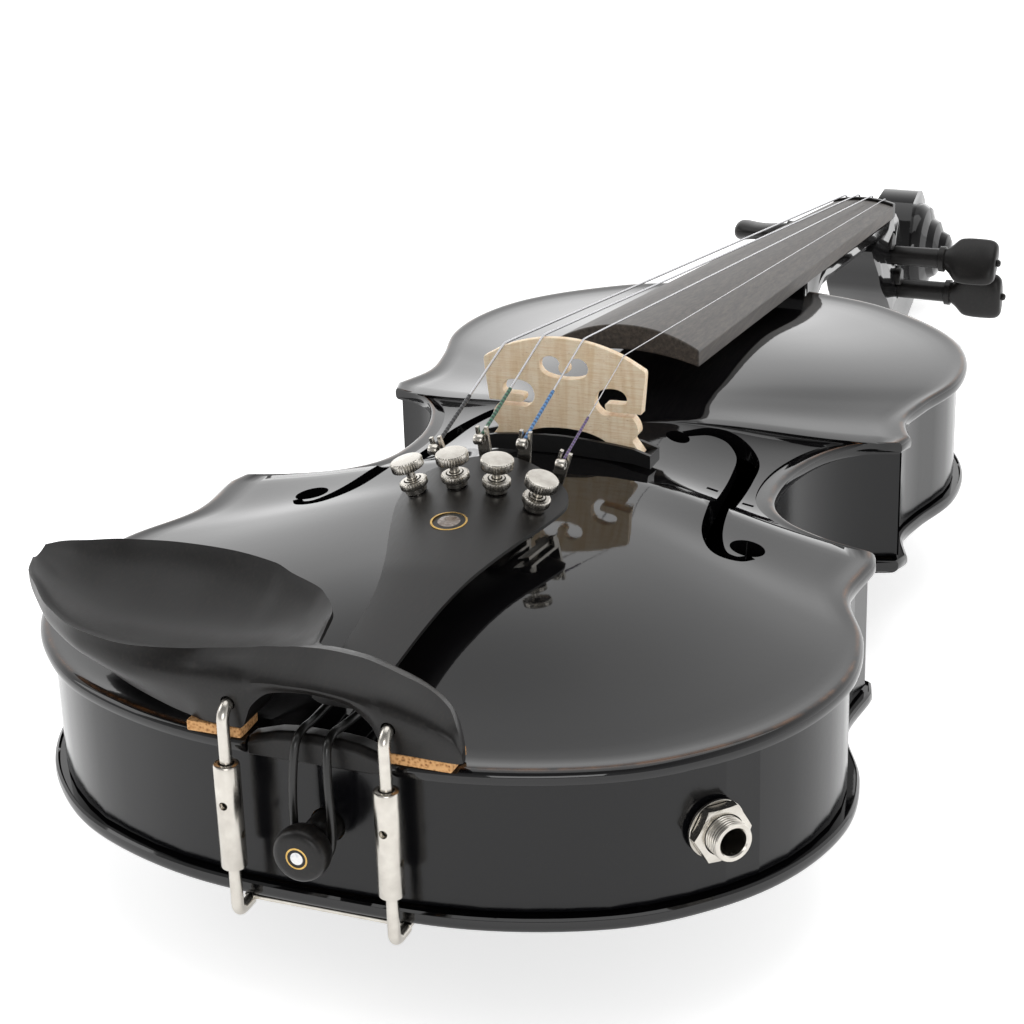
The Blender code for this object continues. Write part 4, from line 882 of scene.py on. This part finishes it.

# %% [markdown]
# ## Strings, silk and windings
# Each string leaves its tuner's fork, passes the bridge and the nut, and winds on its peg. Its tail end is
# wrapped in silk thread, which is then freed from every body and left where it lies.

# %% String the instrument
STRING_RADIUS = {"g": 0.34, "d": 0.31, "a": 0.27, "e": 0.14}
AT_NUT = {"g": -8.1, "d": -2.7, "a": 2.7, "e": 8.1}
AT_BRIDGE = {"g": -17.0, "d": -5.7, "a": 5.7, "e": 17.0}
AT_PEG = {"g": -4.5, "d": -1.6, "a": 1.6, "e": 4.5}
PEG_AT = {"g": (493.8, 13.8), "e": (499.0, 6.8), "d": (503.0, -3.0), "a": (508.0, -9.4)}
PEG_ANGLE = {"g": 35, "d": 14, "a": 8, "e": 20}
SILK_THICKNESS = {"g": 0.2, "d": 0.2, "a": 0.2, "e": 0.22}
PEG_SHANK = 3.9
TURNS_ON_PEG = 5
SILK_SHARE = {"g": 0.5, "d": 0.48, "a": 0.5, "e": 0.42}
NUT_LENGTH = 4.2
for name in "gdae":
    radius = STRING_RADIUS[name]
    tail_end = tuner_frame(name) @ Vector((0, PIVOT_Y[name] + 3.7, 5.0))
    bridge_x, nut_x = AT_BRIDGE[name], AT_NUT[name]
    bridge_z, lift = bridge_top(bridge_x), radius + GAP
    nut_z = board_top(nut_x, NUT_Y) + 1.0
    peg_y, peg_z = PEG_AT[name]
    angle, wrap = math.radians(PEG_ANGLE[name]), PEG_SHANK + lift
    start = Vector((tail_end.x, tail_end.y - 1.2, tail_end.z - 0.3))
    saddle_point = Vector((tail_end.x + (bridge_x - tail_end.x) * 0.97, BRIDGE_Y - 1.6,
                           bridge_z + lift - 0.55))
    silk_end = start.lerp(saddle_point, SILK_SHARE[name])
    peg_point = Vector((AT_PEG[name], peg_y + wrap * math.cos(angle), peg_z + wrap * math.sin(angle)))
    line = [silk_end, saddle_point, (bridge_x, BRIDGE_Y + 0.6, bridge_z + lift),
            (bridge_x * 0.995, BRIDGE_Y + 4.5, bridge_z + lift - 0.5), (nut_x, NUT_Y + 0.3, nut_z + lift),
            (nut_x * 0.99, NUT_Y + 2.4, nut_z + lift - 0.25),
            (nut_x * 0.95, NUT_Y + NUT_LENGTH + 0.4, nut_z + lift - 1.0), peg_point]
    cord(f"string_{name}_wound", line, radius, "instrument", steel, [f"string_{name}"])
    thread = [tuple(start.lerp(silk_end, s)) for s in np.linspace(0, 1, 12)]
    silk = cord(f"string_{name}_silk", thread, radius + SILK_THICKNESS[name], "instrument", SILKS[name])
    silk.parent = None
    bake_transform(silk)
    ball = turned([(0.55, -1.2), (1.2, -1.2), (1.4, -0.9), (1.4, 0.9), (1.2, 1.2), (0.55, 1.2)], 32,
                  closed=True)
    along = (silk_end - start).normalized()
    lean = Vector((1, 0, 0)).to_track_quat("Z", "Y").to_matrix().to_4x4()
    piece(f"string_{name}_ball", ball, f"tuner_lever_{name}", nickel,
          place=Matrix.Translation(start - along * 1.4) @ lean)
    coil = []
    for k in range(121):
        a = angle - 2 * math.pi * TURNS_ON_PEG * k / 120
        x = AT_PEG[name] + math.copysign(1, -AT_PEG[name]) * (2 * radius + 0.05) * TURNS_ON_PEG * k / 120
        coil.append((x, peg_y + wrap * math.cos(a), peg_z + wrap * math.sin(a)))
    cord(f"string_{name}_winding", coil, radius, f"peg_{name}", steel)
print("strings done")

# %% [markdown]
# ## Pegs
# A peg is a tapered round shank with a turned collar and an oval thumb piece that thins like a leaf. Oval
# sections along its axis are enough, because it is round wherever both half widths are the same.

# %% Shape the pegs
PEG_SIDE = {"g": -1, "d": -1, "a": 1, "e": 1}
PEG_TURN = {"g": 100.0, "d": 65.0, "a": 4.0, "e": -38.0}
PEG_OUT = {"g": 1.5, "d": 0.0, "a": 0.8, "e": 0.0}
PEG_SECTIONS = [(-12.4, 2.9, 2.9), (-12.0, 3.3, 3.3), (27.8, 3.9, 3.9), (28.2, 4.9, 4.9), (30.2, 5.0, 5.0),
                (30.7, 4.0, 4.0), (32.4, 5.6, 3.8), (35, 8.6, 3.6), (37.5, 9.3, 3.3), (40, 9.5, 3.2),
                (43, 9.5, 3.3), (46, 9.4, 3.7), (48, 9.0, 3.9), (49.3, 8.2, 3.7), (50.2, 6.6, 2.9),
                (50.4, 3.0, 1.4)]
for name in "gdae":
    sections = []
    stations = PEG_SECTIONS[:6] + [tuple(s) for s in smooth_path(PEG_SECTIONS[6:], 4)]
    for z, a, b in stations:
        sections.append([(a * math.cos(t), b * math.sin(t), z) for t in np.linspace(0, 2 * math.pi, 49)[:48]])
    y, z = PEG_AT[name]
    lean = Matrix.Rotation(math.radians(90 * PEG_SIDE[name]), 4, "Y") @ Matrix.Rotation(
        math.radians(PEG_TURN[name]), 4, "Z")
    place = Matrix.Translation((PEG_SIDE[name] * PEG_OUT[name], y, z)) @ lean
    piece(f"peg_{name}_turned", loft(sections), f"peg_{name}", ebony, [f"peg_{name}"], place, 40.0)
    pip = turned([(0, 52.0), (0.9, 51.8), (1.4, 51.2), (1.4, 50.6), (0.9, 50.1), (0, 50.0)], 24)
    piece(f"peg_{name}_pip", pip, f"peg_{name}", ebony, place=place)
print("pegs done")

# %% [markdown]
# ## Chin rest
# The rest is carved from one block of ebony: a dished cup beside the tailpiece, and an arm that runs over
# the gut to the far foot. Sections across it, each drawn from the foot of the near face over the ridge and
# down into the dish, are blended along its length. The ridge and the rims stay crisp.

# %% Carve the chin rest
CHIN_SECTIONS = [
    (-89.5, [(36, 55.4), (35.2, 56.4), (35, 57.6), (36.4, 57.2), (38, 57.4), (39.6, 57.9), (41, 58.5),
             (41.2, 57.2),
             (39.6, 56), (37.6, 55.3)]),
    (-86.0, [(29, 53.6), (27.6, 55.4), (27.4, 57.8), (31, 56.4), (36, 56), (40.6, 57.4), (43.6, 58.8),
             (44, 57.2),
             (38.5, 54), (33, 53)]),
    (-81.4, [(24, 51.0), (22.2, 54.0), (22.2, 57.8), (27, 55.2), (34, 54.2), (41, 56.6), (45, 59.0),
             (45.5, 57.0),
             (38, 51.6), (30, 50.4)]),
    (-70.0, [(14, 49.4), (10.5, 53.5), (10.0, 58.2), (18, 53.4), (29, 51.8), (40, 55.4), (46.5, 60.2),
             (47, 58.2),
             (35, 48.6), (24, 48.0)]),
    (-57.8, [(7.8, 47.8), (3.0, 52.0), (2.6, 57.6), (14, 52.0), (27, 50.2), (41, 54.6), (49, 60.0),
             (49.5, 58.0),
             (36, 47.6), (22, 46.6)]),
    (-44.6, [(4.0, 44.2), (-0.4, 50.6), (0.4, 57.0), (13, 51.6), (27, 49.8), (42, 54.0), (50, 59.4),
             (50.5, 57.4),
             (36, 47.4), (22, 46.4)]),
    (-31.0, [(1.6, 41.4), (-1.6, 51.6), (2.2, 57.2), (13, 52.2), (26, 50.4), (40, 54.0), (48, 58.6),
             (48.5, 56.6),
             (35, 47.6), (18, 46.0)]),
    (-25.6, [(0.0, 41.2), (-1.9, 53.0), (3.8, 57.4), (13, 52.8), (25, 51.0), (37, 54.0), (45.5, 57.8),
             (46, 55.8),
             (34, 48.6), (14, 41.2)]),
    (-16.4, [(-0.6, 41.2), (-2.0, 54.0), (6.0, 57.9), (14, 54.2), (24, 52.8), (34, 54.2), (41.5, 56.9),
             (42, 55.1),
             (30, 50.4), (13, 41.2)]),
    (-13.6, [(-0.6, 47.0), (-2.0, 54.4), (6.8, 58.2), (14, 54.8), (23, 53.2), (32, 54.4), (38.8, 56.6),
             (39.2, 54.8),
             (28, 51.0), (15, 49.6)]),
    (-9.0, [(-0.7, 50.9), (-2.0, 54.8), (7.4, 58.5), (12.5, 56.0), (19, 54.6), (26, 54.8), (32.6, 56.2),
            (32.9, 54.6),
            (24, 52.6), (13, 51.4)]),
    (-6.6, [(-0.7, 51.5), (-2.0, 54.9), (7.8, 58.7), (11.6, 57.0), (15, 55.6), (19, 55.2), (23.6, 56.0),
            (23.9, 54.6),
            (18, 53.0), (12, 52.0)]),
    (-4.6, [(-0.7, 51.8), (-2.0, 54.9), (8.0, 58.8), (11.0, 57.9), (13, 56.9), (14.8, 56.2), (16.6, 55.8),
            (16.8, 54.8),
            (14, 53.6), (9.6, 52.8)]),
    (0.8, [(-0.7, 52.2), (-2.0, 55.0), (8.2, 59.0), (11, 58.4), (13, 57.4), (14.4, 56.4), (15, 55.6),
           (15, 54.6),
           (13, 53.8), (8, 53.2)]),
    (9.2, [(-0.7, 51.2), (-2.0, 54.4), (8.2, 58.4), (11, 57.8), (13, 56.6), (14.4, 55.4), (15, 54.4),
           (15, 53.6),
           (13, 53.0), (8, 52.0)]),
    (15.2, [(-0.7, 47.2), (-2.0, 53.2), (7.8, 57.2), (10.6, 56.4), (12.6, 55.2), (14, 53.8), (14.8, 52.4),
            (14.8, 51.0), (13, 49.8), (8, 48.6)]),
    (18.6, [(-0.7, 41.2), (-2.0, 52.4), (7.4, 56.3), (10.4, 55.5), (12.4, 54.0), (13.6, 52.0), (14.2, 49.4),
            (14.2, 46.4), (13.6, 43.4), (12.2, 41.2)]),
    (26.0, [(-0.8, 41.2), (-2.0, 50.6), (6.2, 54.4), (8.6, 53.6), (10.4, 52.0), (11.6, 49.6), (12.0, 47.0),
            (12.0, 44.6), (11.6, 42.6), (10.8, 41.2)]),
    (31.5, [(-1.0, 41.2), (-2.0, 48.8), (4.4, 51.6), (6.2, 51.0), (7.6, 49.6), (8.6, 47.6), (9.0, 45.4),
            (9.0, 43.6),
            (8.8, 42.2), (8.2, 41.2)]),
    (35.0, [(-1.0, 41.2), (-1.9, 46.6), (0.6, 48.4), (2.0, 47.8), (3.0, 46.6), (3.8, 45.2), (4.2, 44.0),
            (4.2, 42.8),
            (4.0, 41.9), (3.6, 41.2)]),
    (36.6, [(-0.9, 41.6), (-1.4, 43.6), (-0.8, 44.3), (-0.2, 44.1), (0.2, 43.7), (0.5, 43.2), (0.6, 42.7),
            (0.6, 42.2), (0.5, 41.8), (0.3, 41.5)]),
]


def even_blend(xs, rows, wanted):
    """Rows blended along X by cubic pieces that never overshoot."""
    xs, rows = np.array(xs, float), np.array(rows, float)
    step = np.diff(xs)[:, None, None]
    rise = np.diff(rows, axis=0) / step
    same = rise[1:] * rise[:-1] > 0
    slope = np.zeros_like(rows)
    slope[0], slope[-1] = rise[0], rise[-1]
    slope[1:-1] = np.where(same, 2 * rise[1:] * rise[:-1] / np.where(same, rise[1:] + rise[:-1], 1.0), 0.0)
    result = []
    for x in wanted:
        k = min(max(int(np.searchsorted(xs, x)) - 1, 0), len(xs) - 2)
        t, h = (x - xs[k]) / (xs[k + 1] - xs[k]), xs[k + 1] - xs[k]
        row = ((1 + 2 * t) * (1 - t) ** 2 * rows[k] + t * (1 - t) ** 2 * h * slope[k]
               + t ** 2 * (3 - 2 * t) * rows[k + 1] + t ** 2 * (t - 1) * h * slope[k + 1])
        result.append([(x, y, z) for y, z in row])
    return result


rows = [rounded(section, [0, 2, 6, 7, 9], 6) for _, section in CHIN_SECTIONS]
stations = np.concatenate([np.linspace(-89.5, -82, 10), np.linspace(-80.5, -18, 50), np.linspace(-17, -3, 26),
                           np.linspace(-1.8, 34, 34), [34.6, 35.2, 35.8, 36.3, 36.6]])
chinrest = into_frame("chinrest_carved", loft(even_blend([x for x, _ in CHIN_SECTIONS], rows, stations)))
LEG_X, LEG_Y, ROD_RADIUS = (-18.6, 20.0), -4.5, 1.45
carve(chinrest, [pin((x, -6, 47.6), (x, 8.5, 47.6), ROD_RADIUS + GAP) for x in LEG_X], angle=26.0)
hang(chinrest, BODY_OF["chinrest"], ebony, ["chinrest"])
soften(chinrest, 0.35, 3, 32.0)
refined("chinrest_cork_left", 0.3, 30.0)
refined("chinrest_cork_right", 0.3, 30.0)
refined("saddle", 0.5, 25.0, 3)
print("chin rest faces", len(chinrest.data.polygons))

# %% [markdown]
# ## Clamp, end button and gut
# Two nickel rods come out of the rest, bend down and screw into long nuts, and a bent wire bracket hooks
# under the back. The gut loops from the tailpiece over the saddle and round the end button, which is turned
# in ebony with an inlaid eye.

# %% Build the clamp and the button
BARREL_LOW, BARREL_HIGH = 8.2, 34.2
for label, x in zip(("left", "right"), LEG_X):
    corner = [(x, LEG_Y + 3.4 * (1 - math.cos(a)), 44.2 + 3.4 * math.sin(a)) for a in np.linspace(0,
            math.pi / 2, 13)]
    bend = [(x, LEG_Y, 22.5), (x, LEG_Y, 34.0), *corner, (x, LEG_Y + 10.5, 47.6)]
    cord(f"chinrest_leg_{label}_bent", bend, ROD_RADIUS, "instrument", nickel,
         [f"chinrest_leg_{label}"], 8)
    length = BARREL_HIGH - BARREL_LOW
    profile = [(2.55, 0), (2.85, 0.12), (3.0, 0.45), (3.0, length - 0.45), (2.85, length - 0.12),
               (2.55, length),
               (1.85, length), (1.85, 0)]
    barrel = into_frame(f"chinrest_barrel_{label}_turned", turned(profile, 64, closed=True),
                        Matrix.Translation((x, LEG_Y, BARREL_LOW)))
    holes = [pin((-6, 0, 8.6), (6, 0, 8.6), 1.0, 32), pin((0, -6, 16.6), (0, 6, 16.6), 1.0, 32)]
    carve(barrel, holes, Matrix.Translation((x, LEG_Y, BARREL_LOW)))
    hang(barrel, f"chinrest_barrel_{label}", nickel, [f"chinrest_barrel_{label}"])
strap = prism([(LEG_X[0] - 1.45, -3.6), (LEG_X[1] + 1.45, -3.6), (LEG_X[1] + 1.45, -2.52),
               (LEG_X[0] - 1.45, -2.52)], 1.2, 6.2, "y")
for x in LEG_X:
    heel = [(x, LEG_Y + 2.2 * (1 - math.cos(a)), -1.65 - 2.2 * math.sin(a)) for a in np.linspace(0,
            math.pi / 2, 11)]
    label = "left" if x < 0 else "right"
    cord(f"chinrest_hook_{label}", [(x, LEG_Y, 19.5), (x, LEG_Y, 6.0), *heel, (x, 1.6, -3.85)], ROD_RADIUS,
         "chinrest_lower_bracket", nickel, resolution=8)
strap = piece("chinrest_strap", strap, "chinrest_lower_bracket", nickel, ["chinrest_lower_bracket"])
soften(strap, 0.3, 3)

BUTTON_X, BUTTON_Z = 1.6, 18.4
place = Matrix.Translation((BUTTON_X, 0, BUTTON_Z)) @ Matrix.Rotation(math.radians(90), 4, "X")
neck_line = [(0, -15), (3.6, -15), (3.9, -2), (3.9, 1.8), (3.4, 2.6), (3.0, 3.6), (3.0, 5.2), (3.6, 5.9),
             (5.2, 6.6),
             (6.0, 7.4), (6.35, 8.6), (6.45, 9.8), (6.3, 11.3), (6.0, 12.1), (5.4, 12.6), (4.4, 12.8),
             (2.9, 12.85),
             (0, 12.85)]
piece("end_button_turned", turned(neck_line, 72), BODY_OF["end_button"], ebony, ["end_button"],
      place, 60.0)
piece("end_button_pearl", turned([(0, 12.95), (1.2, 12.94), (1.5, 12.86), (1.5, 12.4), (0, 12.4)], 40),
      "instrument",
      pearl, place=place)
piece("end_button_ring", turned([(2.2, 12.93), (2.6, 12.9), (2.6, 12.4), (2.2, 12.4)], 48, closed=True),
      "instrument",
      brass, place=place)

GUT_SIDE = [(4.4, 3.2, 20.0, 44.2), (4.3, 3.0, 14.0, 43.2), (4.0, 2.4, 9.0, 42.7), (3.7, 1.8, 5.0, 42.35),
            (3.6, 1.4, 2.0, 42.35), (3.7, 1.4, -1.2, 41.4), (3.9, 1.4, -2.7, 38.8), (4.3, 1.5, -3.9, 32.0),
            (4.6, 1.6, -4.2, 25.0), (4.4, 1.6, -4.2, 18.4), (3.3, 1.6, -4.2, 15.4), (1.8, 1.6, -4.2, 14.3)]
loop = [(middle + half, y, z) for half, middle, y, z in GUT_SIDE] + [(1.6, -4.2, 14.0)]
loop += [(middle - half, y, z) for half, middle, y, z in GUT_SIDE[::-1]]
cord("tail_gut_bent", [tuple(p) for p in smooth_path(loop, 5)], 1.0, "instrument", gut,
     ["tail_gut"], 6)
print("clamp and button done")

# %% [markdown]
# ## Output jack
# The jack's threaded sleeve comes out through the lower rib, held by a washer and a hexagon nut whose
# corners are chamfered by the turning tool. Fine ridges on the sleeve show its thread.

# %% Fit the jack


def jack_place():
    """The origin is on the rib's face at the jack, with Z pointing out."""
    low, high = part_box("jack_nut")
    middle = (low + high) / 2 / MM + BOX_MIDDLE
    low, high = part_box("jack_washer")
    inner = (low + high) / 2 / MM + BOX_MIDDLE
    out = (middle - inner).normalized()
    lean = out.to_track_quat("Z", "Y").to_matrix().to_4x4()
    return Matrix.Translation(inner - out * 1.25) @ lean


place = jack_place()
thread = [(4.5, 8.6), (4.7, 8.3)]
for k in range(8):
    thread += [(4.7, 8.1 - 0.8 * k), (4.54, 7.85 - 0.8 * k), (4.7, 7.6 - 0.8 * k)]
socket_line = thread + [(4.7, -3.0), (6.8, -3.0), (6.8, -24), (3.3, -24), (3.3, 8.3), (3.6, 8.6)]
piece("jack_socket_threaded", turned(socket_line, 64, closed=True), "instrument", nickel,
      ["jack_socket"], place, 25.0)
piece("jack_washer_turned", turned([(7.1, 1.5), (7.0, 1.62), (5.0, 1.62), (5.0, 0.9), (7.1, 0.9)], 64,
                                   closed=True),
      "instrument", nickel, ["jack_washer"], place)
hexagon = [(7.33 * math.cos(a), 7.33 * math.sin(a)) for a in np.radians(np.arange(0, 360, 60))]
nut = into_frame("jack_nut_chamfered", prism(hexagon, 1.9, 4.4), place)
cone = turned([(0, 1.5), (7.6, 1.5), (7.6, 3.9), (6.35, 4.45), (6.35, 6), (0, 6)], 72)
carve(nut, [cone], place, "INTERSECT")
carve(nut, [turned([(0, -1), (5.0, -1), (5.0, 9), (0, 9)], 48)], place)
hang(nut, "instrument", nickel, ["jack_nut"])
print("jack at", [round(v, 2) for v in place.translation])

# %% [markdown]
# ## Floor and light
# The violin lies on a plain pale floor in a bright studio. A large soft box stands beyond the scroll, and
# the gloss of the top mirrors it as a slow gradient; weaker boxes light the sides.

# %% Set the floor and the lights
FLOOR_GLOW = 0.62
SKY_LOW, SKY_HIGH, SKY_NEAR_SHARE = 2.0, 0.8, 0.3
floor_shape = bmesh.new()
bmesh.ops.create_grid(floor_shape, x_segments=1, y_segments=1, size=6.0)
floor_mesh = bpy.data.meshes.new("floor")
floor_shape.to_mesh(floor_mesh)
floor_shape.free()
floor = bpy.data.objects.new("floor", floor_mesh)
floor.location = (0, 0, -0.0003)
bpy.context.scene.collection.objects.link(floor)
floor_finish, tree, shader = new_material("white_sweep", Roughness=0.9)
shader.inputs["Base Color"].default_value = linear("#f0f0f0")
shader.inputs["Emission Color"].default_value = linear("#ffffff")
shader.inputs["Emission Strength"].default_value = FLOOR_GLOW
floor_mesh.materials.append(floor_finish)

world = bpy.data.worlds.new("studio")
bpy.context.scene.world = world
world.use_nodes = True
tree = world.node_tree
background = tree.nodes["Background"]
direction = add_node(tree, "TexCoord")
parts = add_node(tree, "SeparateXYZ", Vector=direction.outputs["Generated"])
height = add_node(tree, "MapRange", Value=parts.outputs["Z"], From_Min=0.05, From_Max=0.8, To_Min=SKY_LOW,
                  To_Max=SKY_HIGH)
beyond = add_node(tree, "MapRange", Value=parts.outputs["Y"], From_Min=-0.35, From_Max=0.6,
                  To_Min=SKY_NEAR_SHARE,
                  To_Max=1.0)
glow = add_node(tree, "Math", {"operation": "MULTIPLY"}, i0=height.outputs[0], i1=beyond.outputs[0])
seen = add_node(tree, "LightPath")
level_of = add_node(tree, "Mix", {"data_type": "FLOAT"}, i0=seen.outputs["Is Camera Ray"],
                    i2=glow.outputs[0], i3=1.0)
background.inputs["Color"].default_value = linear("#ffffff")
tree.links.new(level_of.outputs[0], background.inputs["Strength"])


def soft_box(name, where, aim, width, height, watts):
    lamp = bpy.data.lights.new(name, "AREA")
    lamp.shape = "RECTANGLE"
    lamp.size, lamp.size_y, lamp.energy = width, height, watts
    item = bpy.data.objects.new(name, lamp)
    item.location = where
    item.rotation_euler = (Vector(aim) - Vector(where)).to_track_quat("-Z", "Y").to_euler()
    bpy.context.scene.collection.objects.link(item)
    return item


soft_box("overhead", (0.0, 0.1, 1.5), (0, 0, 0), 1.4, 1.4, 8)
soft_box("left_side", (-1.3, -0.5, 0.9), (0, 0, 0), 0.8, 0.8, 4)
soft_box("near_side", (0.5, -1.5, 0.5), (0, -0.2, 0), 0.7, 0.5, 4)
bpy.context.scene.view_settings.view_transform = "Standard"
print("lights", len(bpy.data.lights))
